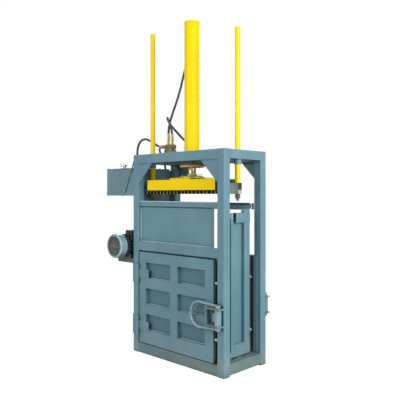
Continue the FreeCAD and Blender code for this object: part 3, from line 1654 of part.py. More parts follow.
def make_hoses():
    """Each route starts and ends on its fittings; the points between are as the hoses hang."""
    valve_y = size("valve_y")
    port_top = size("valve_port_top")
    port_left = size("valve_middle - valve_port_pitch / 2")
    port_right = size("valve_middle + valve_port_pitch / 2")
    side_x = size("-valve_left - side_port_long")
    side_z = size("valve_plate_top + side_port_rise")
    return_y = size("valve_y - side_port_pitch / 2")
    pressure_y = size("valve_y + side_port_pitch / 2")
    reach = size("cylinder_outer / 2 + port_long") * math.sqrt(0.5)
    cylinder_y = size("press_y")
    low_port = size("lower_port_height")
    high_port = size("upper_port_height")
    hose(
        "lower_port_hose",
        [
            (port_right, valve_y, port_top),
            (port_right, valve_y, port_top + 40),
            (-314, 17, 1826),
            (-324, 10, 1868),
            (-314, -17, 1908),
            (-287, -54, 1921),
            (-253, -83, 1897),
            (-227, -75, 1850),
            (-207, -35, 1803),
            (-187, 4, 1758),
            (-161, 37, 1718),
            (-125, 48, low_port + 18),
            (-reach - 33, cylinder_y + reach + 33, low_port),
            (-reach, cylinder_y + reach, low_port),
        ],
    )
    hose(
        "upper_port_hose",
        [
            (port_left, valve_y, port_top),
            (port_left, valve_y, port_top + 80),
            (-356, 40, 1905),
            (-345, 67, 1990),
            (-324, 90, 2080),
            (-297, 103, 2175),
            (-264, 103, 2270),
            (-220, 96, 2360),
            (-168, 85, 2438),
            (-130, cylinder_y + 130, high_port - 60),
            (-117, cylinder_y + 117, high_port - 16),
            (-reach - 33, cylinder_y + reach + 33, high_port),
            (-reach, cylinder_y + reach, high_port),
        ],
    )
    hose(
        "return_hose",
        [
            (side_x, return_y, side_z),
            (side_x - 44, return_y, side_z),
            (-496, 2, 1712),
            (-552, -6, 1746),
            (-615, -12, 1772),
            (-676, -16, 1758),
            (-716, -16, 1708),
            (-726, -14, 1645),
            (-724, -14, 1577),
            (-724, -14, size("tank_top")),
        ],
    )
    pump_y = size("bell_rear + pump_long / 2")
    motor_x = size("-motor_x")
    motor_z = size("motor_axis")
    outlet_z = size("motor_axis + pump_half + pump_port_long")
    inlet_x = size("-motor_x - pump_half - pump_port_long")
    shelf_under = size("tank_bottom - shelf_thick")
    hose(
        "pressure_hose",
        [
            (side_x, pressure_y, side_z),
            (side_x - 44, pressure_y, side_z),
            (-500, 50, 1686),
            (-548, 92, 1668),
            (-580, 144, 1626),
            (-588, 188, 1565),
            (-590, 203, 1490),
            (-590, 205, 1390),
            (-592, 205, 1285),
            (-600, 184, 1185),
            (-616, 134, 1100),
            (-628, 94, 1025),
            (motor_x, pump_y, outlet_z + 48),
            (motor_x, pump_y, outlet_z),
        ],
    )
    hose(
        "suction_hose",
        [
            (-760, 90, shelf_under),
            (-760, 90, shelf_under - 81),
            (-772, 93, 1125),
            (-794, 92, 1035),
            (-798, 88, 955),
            (-778, 82, 892),
            (inlet_x - 39, pump_y, motor_z),
            (inlet_x, pump_y, motor_z),
        ],
    )


# ---------------------------------------------------------------- build, check and write
def build():
    make_posts()
    make_end_beams()
    make_side_beams()
    make_bottom_rails()
    make_middle_rail()
    make_bridge()
    make_floor()
    make_side_walls()
    make_upper_panels()
    make_rear_rim()
    make_sleeves()
    make_cylinder()
    make_ram()
    make_platen()
    make_arms()
    make_guide_rods()
    make_front_door()
    make_rear_door()
    make_hinge_brackets()
    make_latches()
    make_tank()
    make_power_shelf()
    make_motor()
    make_pump()
    make_valve()
    make_hoses()


def check_and_write():
    doc.recompute()
    for thing in doc.Objects:
        if "Invalid" in thing.State or "Error" in thing.State:
            raise RuntimeError(f"{thing.Label} failed: {thing.State}")
    os.makedirs("parts", exist_ok=True)
    for thing in NODES:
        if thing.Shape.isNull() or not thing.Shape.isValid():
            raise RuntimeError(f"{thing.Label} has no valid shape")
        if thing.Shape.Volume <= 0:
            raise RuntimeError(f"{thing.Label} has no volume")
        thing.Shape.exportStep(os.path.join("parts", f"{thing.Label}.step"))
    print(len(NODES), "nodes written")


build()
check_and_write()
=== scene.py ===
# %% [markdown]
# # A small recycling baler
# A vertical baler squeezes card and film into a bale. A welded frame of square tube carries a
# hydraulic cylinder, the cylinder drives a comb-faced platen down into a chamber, and a door in
# front and one behind let the bale out. The CAD model already has every main shape in its place,
# so this lesson dresses it: paint, grease, welds, bolts, hose ends and the light of a plain studio.

# %% Load the frame and measure it
import math
import random
from itertools import product

import bmesh
import bpy
from mathutils import Matrix, Vector


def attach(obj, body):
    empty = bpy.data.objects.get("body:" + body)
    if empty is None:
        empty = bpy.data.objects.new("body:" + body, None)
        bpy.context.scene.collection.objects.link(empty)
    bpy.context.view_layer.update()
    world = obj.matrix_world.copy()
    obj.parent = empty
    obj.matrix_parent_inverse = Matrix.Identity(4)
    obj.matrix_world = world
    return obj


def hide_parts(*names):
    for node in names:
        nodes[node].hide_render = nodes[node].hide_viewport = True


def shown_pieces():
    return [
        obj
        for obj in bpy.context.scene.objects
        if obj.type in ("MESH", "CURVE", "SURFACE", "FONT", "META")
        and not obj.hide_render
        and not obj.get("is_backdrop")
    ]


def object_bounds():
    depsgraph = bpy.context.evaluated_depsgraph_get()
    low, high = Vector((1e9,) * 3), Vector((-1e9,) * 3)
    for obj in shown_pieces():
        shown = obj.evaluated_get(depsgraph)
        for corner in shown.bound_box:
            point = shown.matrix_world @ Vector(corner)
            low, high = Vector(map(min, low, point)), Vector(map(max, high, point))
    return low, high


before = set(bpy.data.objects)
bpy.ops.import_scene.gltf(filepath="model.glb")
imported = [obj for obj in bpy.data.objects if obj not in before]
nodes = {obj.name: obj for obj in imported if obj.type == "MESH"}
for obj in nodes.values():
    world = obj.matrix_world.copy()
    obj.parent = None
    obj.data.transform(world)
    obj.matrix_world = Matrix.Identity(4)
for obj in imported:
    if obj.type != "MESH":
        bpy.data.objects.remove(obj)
cad_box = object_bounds()
print("CAD box", [round(v, 3) for corner in cad_box for v in corner])

# %% [markdown]
# ## Camera
# The picture was taken at breast height from the front right corner, with the camera level. A level
# camera keeps every post upright, so the view is moved down by a small vertical shift and not by a
# tilt. The focal length follows from how fast the beams narrow towards their vanishing points.

# %% Camera
PHOTO_PIXELS = 400
FOCAL_PIXELS = 532.5
HORIZON_ROW = 194.2
SENSOR_MM = 36
EYE = (2.957, -3.015, 1.288)
LOOK = (-0.696, 0.718, 0)


def into_scene(name, data):
    made = bpy.data.objects.new(name, data)
    bpy.context.scene.collection.objects.link(made)
    return made


lens = bpy.data.cameras.new("Camera")
lens.sensor_width = SENSOR_MM
lens.lens = FOCAL_PIXELS / PHOTO_PIXELS * SENSOR_MM
lens.shift_y = (HORIZON_ROW - PHOTO_PIXELS / 2) / PHOTO_PIXELS
camera = into_scene("Camera", lens)
camera.location = EYE
camera.rotation_mode = "QUATERNION"
camera.rotation_quaternion = Vector(LOOK).to_track_quat("-Z", "Y")
bpy.context.scene.camera = camera
print("lens", round(lens.lens, 2), "mm, shift", round(lens.shift_y, 4))

# %% [markdown]
# ## Hoses
# A hydraulic hose is stiff: it leaves its fitting straight, bends in wide curves and goes back into
# the machine. A NURBS curve of order 3 does the same, because it starts along its first two control
# points and never kinks. The points are the CAD routes, in metres, and each hose's length stands
# before its route.

# %% Five hydraulic hoses
HOSE_OUTER = 0.019
HOSE_ROUTES = {
    "lower_port_hose": (0.638, [
        (-0.308, 0.020, 1.740), (-0.308, 0.020, 1.780), (-0.314, 0.017, 1.826), (-0.324, 0.010, 1.868),
        (-0.314, -0.017, 1.908), (-0.287, -0.054, 1.921), (-0.253, -0.083, 1.897), (-0.227, -0.075, 1.850),
        (-0.207, -0.035, 1.803), (-0.187, 0.004, 1.758), (-0.161, 0.037, 1.718), (-0.125, 0.048, 1.690),
        (-0.0924, 0.0374, 1.672), (-0.0594, 0.0044, 1.672),
    ]),
    "upper_port_hose": (0.950, [
        (-0.356, 0.020, 1.740), (-0.356, 0.020, 1.820), (-0.356, 0.040, 1.905), (-0.345, 0.067, 1.990),
        (-0.324, 0.090, 2.080), (-0.297, 0.103, 2.175), (-0.264, 0.103, 2.270), (-0.220, 0.096, 2.360),
        (-0.168, 0.085, 2.438), (-0.130, 0.075, 2.500), (-0.117, 0.062, 2.544), (-0.0924, 0.0374, 2.560),
        (-0.0594, 0.0044, 2.560),
    ]),
    "return_hose": (0.557, [
        (-0.402, 0.006, 1.690), (-0.446, 0.006, 1.690), (-0.496, 0.002, 1.712), (-0.552, -0.006, 1.746),
        (-0.615, -0.012, 1.772), (-0.676, -0.016, 1.758), (-0.716, -0.016, 1.708), (-0.726, -0.014, 1.645),
        (-0.724, -0.014, 1.577), (-0.724, -0.014, 1.506),
    ]),
    "pressure_hose": (0.984, [
        (-0.402, 0.034, 1.690), (-0.446, 0.034, 1.690), (-0.500, 0.050, 1.686), (-0.548, 0.092, 1.668),
        (-0.580, 0.144, 1.626), (-0.588, 0.188, 1.565), (-0.590, 0.203, 1.490), (-0.590, 0.205, 1.390),
        (-0.592, 0.205, 1.285), (-0.600, 0.184, 1.185), (-0.616, 0.134, 1.100), (-0.628, 0.094, 1.025),
        (-0.630, 0.077, 0.972), (-0.630, 0.077, 0.924),
    ]),
    "suction_hose": (0.506, [
        (-0.760, 0.090, 1.301), (-0.760, 0.090, 1.220), (-0.772, 0.093, 1.125), (-0.794, 0.092, 1.035),
        (-0.798, 0.088, 0.955), (-0.778, 0.082, 0.892), (-0.735, 0.077, 0.858), (-0.696, 0.077, 0.858),
    ]),
}


def hose(node, route):
    """A NURBS hose that stands for a CAD one; its control points are the route."""
    curve = bpy.data.curves.new(f"{node}_line", "CURVE")
    curve.dimensions = "3D"
    spline = curve.splines.new("NURBS")
    spline.points.add(len(route) - 1)
    for spot, point in zip(spline.points, route):
        spot.co = (*point, 1)
        spot.radius = HOSE_OUTER / 2
    spline.order_u = 3
    spline.use_endpoint_u = True
    spline.resolution_u = 10
    curve.bevel_depth = 1
    curve.bevel_resolution = 6
    curve.use_fill_caps = True
    piece = into_scene(f"rubber_{node}", curve)
    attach(piece, "frame")
    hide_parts(node)
    return piece


hoses = {node: hose(node, route) for node, (_, route) in HOSE_ROUTES.items()}
print(len(hoses), "hoses, each", HOSE_OUTER * 1000, "mm across")

# %% [markdown]
# ## Wiring shader nodes
# A procedural material is a small machine of nodes. Short methods keep the wiring readable: each adds
# a node with its inputs filled or linked and gives back its output. Effects that several finishes
# share are groups with named sockets, made once, and each material gives them its own numbers.

# %% Helpers for nodes and groups
class Wires:
    """A node tree that nodes are added to."""

    def __init__(self, tree):
        self.tree = tree

    def fill(self, node, inputs):
        """Sets a node's inputs; each is a value, or a socket that is linked to it."""
        for key, value in inputs.items():
            if isinstance(value, bpy.types.NodeSocket):
                self.tree.links.new(value, node.inputs[key])
            else:
                node.inputs[key].default_value = value

    def add(self, kind, inputs=None, **settings):
        made = self.tree.nodes.new(f"ShaderNode{kind}")
        for key, value in settings.items():
            setattr(made, key, value)
        self.fill(made, inputs or {})
        return made

    def calc(self, operation, *values):
        return self.add("Math", dict(enumerate(values)), operation=operation).outputs[0]

    def times(self, first, second):
        return self.calc("MULTIPLY", first, second)

    def mix(self, factor, first, second, blend="MIX"):
        """A colour mix. Sockets 0, 6 and 7 are the factor and the two colours."""
        inputs = {0: factor, 6: first, 7: second}
        return self.add("Mix", inputs, data_type="RGBA", blend_type=blend).outputs[2]

    def ramp(self, value, low, high, to_low=0.0, to_high=1.0):
        inputs = {"Value": value, "From Min": low, "From Max": high, "To Min": to_low, "To Max": to_high}
        return self.add("MapRange", inputs, interpolation_type="SMOOTHSTEP").outputs[0]

    def noise(self, where, scale, detail=3.0, roughness=0.55):
        inputs = {"Vector": where, "Scale": scale, "Detail": detail, "Roughness": roughness}
        return self.add("TexNoise", inputs).outputs[0]

    def stretched(self, where, scale):
        """Coordinates squeezed by a scale, so that a texture runs long in the small direction."""
        return self.add("Mapping", {"Vector": where, "Scale": scale}).outputs[0]

    def place(self):
        """The part's own coordinates, in metres."""
        return self.add("TexCoord").outputs["Object"]

    def where(self, letter):
        """One of those coordinates."""
        return self.add("SeparateXYZ", {0: self.place()}).outputs[letter]

    def facing(self, letter):
        """How far the surface faces along an axis, from -1 to 1."""
        return self.add("SeparateXYZ", {0: self.add("NewGeometry").outputs["Normal"]}).outputs[letter]


class Effect(Wires):
    """A node group. A first value of 3 numbers is a vector, of 4 a colour, and otherwise a number."""

    def __init__(self, name, inputs, outputs):
        super().__init__(bpy.data.node_groups.new(name, "ShaderNodeTree"))
        sockets = self.tree.interface
        for label, value in inputs.items():
            kind = "Float" if isinstance(value, float) else {3: "Vector", 4: "Color"}[len(value)]
            sockets.new_socket(label, in_out="INPUT", socket_type=f"NodeSocket{kind}").default_value = value
        for label in outputs:
            kind = {"Color": "Color", "Normal": "Vector"}.get(label, "Float")
            sockets.new_socket(label, in_out="OUTPUT", socket_type=f"NodeSocket{kind}")
        self.start = self.tree.nodes.new("NodeGroupInput").outputs
        self.end = self.tree.nodes.new("NodeGroupOutput")

    def give(self, **outputs):
        self.fill(self.end, outputs)
        print("group", self.tree.name)


GREY = (0.5, 0.5, 0.5, 1)

# %% [markdown]
# ## Worn and highlit edges
# Paint is thinnest on a corner, so corners wear pale first, and on the posts the pale corners are
# also a painted highlight. The Bevel node gives the normal of a rounded corner without changing the
# mesh: where it differs from the true normal, there is an edge. The same normal then makes the
# corner look softly rounded.

# %% Group: worn and highlit edges
wear_and_highlight = Effect("Worn and highlit edges", {"Radius": 0.002, "Amount": 0.5, "Breaks": 40.0}, ["Mask", "Normal"])
rounded = wear_and_highlight.add("Bevel", {"Radius": wear_and_highlight.start["Radius"]}, samples=4).outputs[0]
flat = wear_and_highlight.add("NewGeometry").outputs["Normal"]
alike = wear_and_highlight.add("VectorMath", {0: rounded, 1: flat}, operation="DOT_PRODUCT").outputs["Value"]
broken = wear_and_highlight.ramp(wear_and_highlight.noise(wear_and_highlight.place(), wear_and_highlight.start["Breaks"]), 0.38, 0.62, 0.25, 1.0)
mask = wear_and_highlight.times(wear_and_highlight.ramp(alike, 0.995, 0.86), broken)
wear_and_highlight.give(Mask=wear_and_highlight.times(mask, wear_and_highlight.start["Amount"]), Normal=rounded)

# %% [markdown]
# ## The paint film
# Sprayed enamel is never one flat colour. Broad patches lie a little thicker or thinner, faint runs
# hang down the sheets, and a fine orange peel breaks up the highlights. Noises at metres, at
# centimetres stretched along Z and at millimetres give the three.

# %% Group: paint film
film = Effect(
    "Paint film",
    {"Color": GREY, "Second": GREY, "Runs": 0.3, "Gloss": 0.35},
    ["Color", "Roughness", "Height"],
)
place = film.place()
patches = film.ramp(film.noise(place, 3.2, 4.0), 0.36, 0.66)
runs = film.noise(film.stretched(place, (34, 34, 2.2)), 1.0, 4.0, 0.6)
runs = film.times(film.ramp(runs, 0.42, 0.72), film.start["Runs"])
tone = film.calc("MAXIMUM", patches, runs)
smears = film.ramp(film.noise(place, 18.0, 5.0), 0.3, 0.7, -0.06, 0.08)
peel = film.times(film.noise(place, 420.0, 2.0), 0.6)
broad = film.times(film.noise(place, 26.0, 2.0), 0.45)
film.give(
    Color=film.mix(tone, film.start["Color"], film.start["Second"]),
    Roughness=film.calc("ADD", smears, film.start["Gloss"]),
    Height=film.calc("ADD", broad, peel),
)

# %% [markdown]
# ## Workshop dust
# Dust settles on what faces up and is splashed on what stands near the floor. The surface normal's
# upward part finds the first, and the height above the floor the second. A soft noise breaks both,
# because real dust lies in clouds.

# %% Group: workshop dust
DUST_TONE = (0.36, 0.36, 0.31, 1)
dust = Effect("Workshop dust", {"Color": GREY, "Dust": DUST_TONE, "Amount": 0.4}, ["Color", "Mask"])
settled = dust.times(dust.ramp(dust.facing("Z"), 0.55, 0.95), 0.8)
splashed = dust.ramp(dust.where("Z"), 0.26, 0.0)
clouds = dust.ramp(dust.noise(dust.place(), 9.0, 6.0, 0.65), 0.35, 0.65)
mask = dust.times(dust.times(dust.calc("MAXIMUM", settled, splashed), clouds), dust.start["Amount"])
dust.give(Color=dust.mix(mask, dust.start["Color"], dust.start["Dust"]), Mask=mask)

# %% [markdown]
# ## Painted shade in the seams
# Closed-in spots, such as window corners, hinges and the backs of rails, get a dark tint as painted
# shade. Ambient occlusion tells how closed in a spot is, and a noise makes the tint uneven. Faces
# that look down are darkened too, as painted shade under things.

# %% Group: painted seam shade
grime = Effect("Seam grime", {"Color": GREY, "Reach": 0.05, "Amount": 0.5}, ["Color"])
# Closed-in spots get painted shade from ambient occlusion.
openness = grime.add("AmbientOcclusion", {"Distance": grime.start["Reach"]}, samples=6).outputs["AO"]
uneven = grime.ramp(grime.noise(grime.place(), 14.0, 4.0), 0.25, 0.6, 0.55, 1.0)
up = grime.facing("Z")
uneven = grime.times(uneven, grime.ramp(up, 0.8, 0.3))
mask = grime.times(grime.times(grime.ramp(openness, 0.85, 0.2), uneven), grime.start["Amount"])
# Faces that look down get painted shade.
mask = grime.calc("MAXIMUM", mask, grime.ramp(up, -0.35, -0.75, 0.0, 0.7))
shadow_tint = grime.mix(1.0, grime.start["Color"], (0.16, 0.19, 0.19, 1), "MULTIPLY")
grime.give(Color=grime.mix(mask, grime.start["Color"], shadow_tint))

# %% [markdown]
# ## Chips and rust
# Where the latch and the doors knock, the paint has chipped to brown steel. Small islands come from
# a noise cut off high up, and a second noise colours each island from orange to dark brown.

# %% Group: rust chips
rust = Effect("Rust chips", {"Color": GREY, "Amount": 0.3, "Size": 60.0}, ["Color", "Mask"])
place = rust.place()
limit = rust.calc("SUBTRACT", 0.78, rust.times(rust.start["Amount"], 0.3))
islands = rust.noise(place, rust.start["Size"], 4.0, 0.6)
mask = rust.ramp(rust.calc("SUBTRACT", islands, limit), 0.0, 0.03)
brown = rust.mix(rust.noise(place, 190.0), (0.10, 0.035, 0.012, 1), (0.42, 0.16, 0.04, 1))
rust.give(Color=rust.mix(mask, rust.start["Color"], brown), Mask=mask)

# %% [markdown]
# ## Drawn and greased steel
# The rod is ground and hard-chromed, the studs and nuts are turned, and the hub is smeared with
# grease. Streaks along or round the axis come from a squeezed noise, and grease is a yellow-brown
# film in blotches that hides the metal below it.

# %% Group: greased steel
steel = Effect(
    "Greased steel",
    {"Color": GREY, "Grease": GREY, "Amount": 0.5, "Streaks": (60, 60, 3), "Polish": 0.25},
    ["Color", "Roughness", "Metallic", "Height"],
)
place = steel.place()
lines = steel.noise(steel.stretched(place, steel.start["Streaks"]), 4.0, 5.0, 0.65)
shaded = steel.mix(steel.ramp(lines, 0.3, 0.7), (0.55, 0.55, 0.55, 1), (1, 1, 1, 1))
drawn = steel.mix(1.0, steel.start["Color"], shaded, "MULTIPLY")
smear = steel.times(steel.ramp(steel.noise(place, 24.0, 5.0), 0.34, 0.6), steel.start["Amount"])
steel.give(
    Color=steel.mix(smear, drawn, steel.start["Grease"]),
    Roughness=steel.calc("ADD", steel.ramp(lines, 0.35, 0.75, 0.0, 0.22), steel.start["Polish"]),
    Metallic=steel.calc("SUBTRACT", 1.0, smear),
    Height=steel.calc("ADD", lines, smear),
)

# %% [markdown]
# ## Wrapped rubber
# A hydraulic hose has a cover that was cured under wound tape, so it shows a fine slanting wrap.
# The curve's own UV coordinates run along and around the hose, and a slanting wave on them draws the
# wrap, with a coarser noise for handling marks.

# %% Group: hose cover
inputs = {"Color": GREY, "Scuff": GREY, "Turns": 60.0}
cover = Effect("Hose cover", inputs, ["Color", "Roughness", "Height"])
slanted = cover.stretched(cover.add("TexCoord").outputs["UV"], (1.0, 0.035, 1.0))
wave = {"Vector": slanted, "Scale": cover.start["Turns"], "Distortion": 0.4, "Detail": 1.0}
wrap = cover.add("TexWave", wave, wave_type="BANDS", bands_direction="X").outputs["Fac"]
marks = cover.ramp(cover.noise(cover.place(), 30.0, 5.0), 0.42, 0.75)
scuffed = cover.times(marks, cover.ramp(wrap, 0.3, 0.9, 0.35, 1.0))
cover.give(
    Color=cover.mix(scuffed, cover.start["Color"], cover.start["Scuff"]),
    Roughness=cover.ramp(marks, 0.0, 1.0, 0.42, 0.66),
    Height=wrap,
)

# %% [markdown]
# ## Finishes from the groups
# Each finish is one Principled shader fed by the groups above. Numbers that are the same all over,
# such as the specular level, are set on the shader itself. Some finishes change their colour part of
# the way, as where a rod's paint ends or a sheet's rim is rubbed: a zone is a mask for that.

# %% Functions that build a finish
class Finish(Wires):
    """A material with its Principled shader."""

    def __init__(self, name):
        self.material = bpy.data.materials.new(name)
        self.material.use_nodes = True
        super().__init__(self.material.node_tree)
        self.shader = self.tree.nodes["Principled BSDF"]

    def use(self, effect, **inputs):
        """Places a group; its input names are written with capitals."""
        return self.add("Group", inputs, node_tree=effect.tree).outputs

    def bump(self, height, strength, deep, **normal):
        inputs = {"Strength": strength, "Distance": deep, "Height": height, **normal}
        return self.add("Bump", inputs).outputs[0]


def opaque(color):
    return (*color, 1)


SPRAYED = {"gloss": 0.36, "runs": 0.3, "wear": 0.5, "dust": 0.4, "rust": 0.25, "chips": 60.0}
SPRAYED |= {"shine": 0.2, "grime": 0.75, "soft": 0.0022}
CLEANER = {"wear": 0.3, "dust": 0.1, "rust": 0.1, "shine": 0.15, "grime": 0.5}


def painted(name, color, second, rubbed, zone=None, other=None, **changes):
    """Sprayed paint with pale corners, dust, painted seam shade and chips; other shows in the zone."""
    has = {**SPRAYED, **changes}
    made = Finish(name)
    tones = {"Color": opaque(color), "Second": opaque(second)}
    sprayed = made.use(film, Runs=has["runs"], Gloss=has["gloss"], **tones)
    tint = made.mix(zone(made), sprayed["Color"], opaque(other)) if zone else sprayed["Color"]
    edges = made.use(wear_and_highlight, Radius=has["soft"], Amount=has["wear"], Breaks=38.0)
    dusty = made.use(dust, Color=tint, Dust=DUST_TONE, Amount=has["dust"])
    pale = made.mix(edges["Mask"], dusty["Color"], opaque(rubbed))
    # Painted shade: closed-in seams and downward faces get a dark tint.
    seam_shaded = made.use(grime, Color=pale, Reach=0.05, Amount=has["grime"])
    chipped = made.use(rust, Color=seam_shaded["Color"], Amount=has["rust"], Size=has["chips"])
    rough = made.calc("ADD", sprayed["Roughness"], made.times(dusty["Mask"], 0.4))
    rough = made.calc("MAXIMUM", rough, made.times(chipped["Mask"], 0.85))
    rough = made.calc("MAXIMUM", rough, made.ramp(made.facing("Z"), -0.35, -0.75, 0.0, 0.92))
    height = made.calc("SUBTRACT", sprayed["Height"], chipped["Mask"])
    bumped = made.bump(height, 0.35, 0.0006, Normal=edges["Normal"])
    inputs = {"Base Color": chipped["Color"], "Roughness": rough, "Normal": bumped}
    made.fill(made.shader, {**inputs, "Specular IOR Level": has["shine"]})
    return made.material


def zoned(name, color, second, zone, other, rubbed, **changes):
    """Cleaner paint that gives way to another colour in a zone."""
    return painted(name, color, second, rubbed, zone, other, **{**CLEANER, **changes})


def steely(name, color, grease, amount, streaks=(30, 30, 30), polish=0.25, bump=0.2):
    """Bare or plated metal with grease over it."""
    made = Finish(name)
    greased = made.use(
        steel, Color=opaque(color), Grease=opaque(grease), Amount=amount, Streaks=streaks, Polish=polish
    )
    edges = made.use(wear_and_highlight, Radius=0.0012, Amount=0.3, Breaks=60.0)
    inputs = {label: greased[label] for label in ("Roughness", "Metallic")}
    inputs["Base Color"] = made.mix(edges["Mask"], greased["Color"], (0.85, 0.85, 0.8, 1))
    inputs["Normal"] = made.bump(greased["Height"], bump, 0.0004, Normal=edges["Normal"])
    made.fill(made.shader, inputs)
    return made.material


def rubbery(name, color, scuff):
    made = Finish(name)
    wrapped = made.use(cover, Color=opaque(color), Scuff=opaque(scuff), Turns=46.0)
    inputs = {"Base Color": wrapped["Color"], "Roughness": wrapped["Roughness"]}
    made.fill(made.shader, {**inputs, "Normal": made.bump(wrapped["Height"], 0.5, 0.0006)})
    return made.material


print("paint with", len(SPRAYED), "numbers, steel and rubber")

# %% [markdown]
# ## The enamels
# The frame's teal is sprayed on thick, and each part of it has aged in its own way: the rails near the
# floor are stained, handles are rubbed bright, latches are chipped, and welds are pale, partly as a
# painted highlight. A finish could be painted as a picture, but numbers for wear, dust and rust fit a
# part of any size.

# %% Plain enamels
TEAL = (0.120, 0.238, 0.290)
TEAL_LIGHT = (0.147, 0.276, 0.326)
TEAL_WORN = (0.40, 0.54, 0.56)
YELLOW = (0.93, 0.655, 0.002)
YELLOW_THIN = (0.95, 0.69, 0.004)
YELLOW_WORN = (0.97, 0.76, 0.12)

frame_paint = painted(
    "Frame enamel", TEAL, TEAL_LIGHT, TEAL_WORN, wear=0.65, dust=0.5, rust=0.2, soft=0.0028
)
# The chamber floor is dark bare steel, and its edge is also painted shade of the gap under the walls.
floor_steel_and_shade = painted(
    "Bare floor plate, dark as shade", (0.03, 0.03, 0.03), (0.05, 0.042, 0.035), (0.07, 0.065, 0.06), gloss=0.5, dust=0.2
)
latch_paint = painted(
    "Latch enamel, chipped", TEAL_LIGHT, (0.21, 0.35, 0.40), (0.56, 0.27, 0.08),
    wear=1.3, rust=0.5, soft=0.0045,
)
bar_paint = painted(
    "Handle enamel, rubbed", (0.17, 0.30, 0.34), (0.26, 0.40, 0.43), (0.6, 0.7, 0.7),
    gloss=0.2, wear=0.4, rust=0.5, shine=0.6,
)
stained_paint = painted(
    "Rail enamel, stained", (0.105, 0.20, 0.225), (0.13, 0.21, 0.20), (0.42, 0.44, 0.36),
    runs=0.6, wear=0.9, dust=0.28, rust=0.40, chips=30.0, soft=0.004,
)
# The posts' wide pale corners are partly wear and partly a painted highlight on their rounded corners.
post_paint = painted(
    "Post enamel, painted edge highlight", TEAL, TEAL_LIGHT, (0.52, 0.67, 0.69), wear=0.8, dust=0.55, rust=0.22, soft=0.006
)
# The flange's orange is painted shade and warm bounce light under the top beam.
flange_shade_paint = painted(
    "Flange enamel, painted shade and bounce light", (0.80, 0.36, 0.03), (0.90, 0.58, 0.14), (0.9, 0.7, 0.4),
    gloss=0.3, runs=0.6, rust=0.4, grime=0.6,
)
# The pale weld enamel is partly a painted highlight, as on the ledges under the door windows.
bead_paint = painted(
    "Pale weld enamel, partly painted highlight", (0.36, 0.49, 0.51), (0.55, 0.66, 0.66), (0.7, 0.78, 0.76),
    wear=0.3, dust=0.05, grime=0.0,
)
rusty_bead = painted(
    "Rusty weld", (0.31, 0.16, 0.07), (0.18, 0.14, 0.10), (0.5, 0.32, 0.16),
    wear=0.3, dust=0.0, rust=0.6, grime=0.2,
)
tank_paint = painted(
    "Tank enamel", (0.13, 0.225, 0.26), TEAL_LIGHT, TEAL_WORN, gloss=0.3, wear=0.8, rust=0.1
)
# The power shelf is painted much darker than the frame.
shelf_paint = painted("Shelf enamel, dark", (0.05, 0.085, 0.095), (0.08, 0.13, 0.145), TEAL_LIGHT, rust=0.2)
# The motor's near-black enamel is painted shade over its finned body.
motor_shade_paint = painted(
    "Motor enamel, painted shade", (0.030, 0.052, 0.062), (0.05, 0.085, 0.095), (0.2, 0.28, 0.28),
    gloss=0.24, rust=0.08, shine=0.5,
)
bell_paint = painted(
    "Bell housing enamel", (0.10, 0.20, 0.205), (0.15, 0.27, 0.28), (0.5, 0.64, 0.64), gloss=0.3, rust=0.08
)
# The fan cover's pale rim rings are a painted highlight on its rounded bend.
rim_highlight_paint = painted(
    "Fan cover rim, painted highlight", (0.48, 0.60, 0.60), (0.6, 0.7, 0.7), (0.8, 0.86, 0.85),
    gloss=0.2, rust=0.05, shine=0.6,
)
# A near-white paint for a painted highlight on the rim rail's rolled edges.
edge_highlight_paint = painted(
    "Rolled edge, painted highlight", (0.72, 0.78, 0.78), (0.82, 0.86, 0.86), (0.9, 0.9, 0.9),
    gloss=0.2, dust=0.0, rust=0.05, shine=0.6, grime=0.0,
)
yellow_paint = painted(
    "Yellow enamel", YELLOW, YELLOW_THIN, YELLOW_WORN,
    gloss=0.3, runs=0.15, wear=0.3, dust=0.03, rust=0.04, shine=0.1, grime=0.35,
)
# Near-black paint for the rim rail's lugs, as painted shade of the gap by the rear posts.
lug_shade_black = painted(
    "Black lug, painted shade", (0.012, 0.014, 0.015), (0.02, 0.022, 0.022), (0.06, 0.06, 0.06),
    wear=0.1, dust=0.0, rust=0.05, shine=0.05,
)
# The bridge is painted near black as painted shade under the top beams.
bridge_shade_paint = painted(
    "Bridge enamel, painted shade", (0.040, 0.062, 0.070), (0.07, 0.10, 0.105), (0.2, 0.28, 0.28),
    gloss=0.5, runs=0.6, rust=0.15, shine=0.1,
)
black_paint = painted(
    "Black enamel", (0.022, 0.026, 0.028), (0.035, 0.04, 0.042), (0.2, 0.22, 0.22), gloss=0.4, rust=0.05
)
print(len(bpy.data.materials), "finishes so far")

# %% [markdown]
# ## Metals and rubber
# Chrome on the rod and the filler, zinc on small screws, yellow passivation on the hose nuts, and raw
# castings on the pump and the valve. Most of them carry an oil film that dulls the metal in blotches,
# so one function makes them all, and the streaks' scale says how the metal was worked.

# %% Metals and rubber
chrome = steely("Hard chrome, oiled", (0.72, 0.72, 0.68), (0.30, 0.28, 0.12), 0.25, (8, 8, 46), 0.12)
rod_chrome = steely(
    "Piston rod under grease", (0.52, 0.52, 0.42), (0.17, 0.16, 0.03), 0.9, (14, 14, 60), 0.16
)
hub_steel = steely("Greased hub", (0.46, 0.44, 0.22), (0.40, 0.36, 0.05), 0.85, (40, 40, 40), 0.34, 0.5)
zinc = steely("Zinc plate", (0.60, 0.62, 0.60), (0.22, 0.22, 0.18), 0.15, polish=0.3)
bare_pin = steely("Rusty pin", (0.30, 0.24, 0.20), (0.34, 0.14, 0.045), 0.95, (40, 40, 10), 0.4, 0.5)
brass = steely("Yellow passivated fitting", (0.70, 0.55, 0.22), (0.22, 0.19, 0.08), 0.4, polish=0.28)
ferrule_zinc = steely("Pale crimped ferrule", (0.66, 0.66, 0.58), (0.30, 0.28, 0.16), 0.3, polish=0.35)
stud_steel = steely("Oiled dark nuts", (0.20, 0.20, 0.19), (0.05, 0.05, 0.045), 0.7, polish=0.35, bump=0.4)
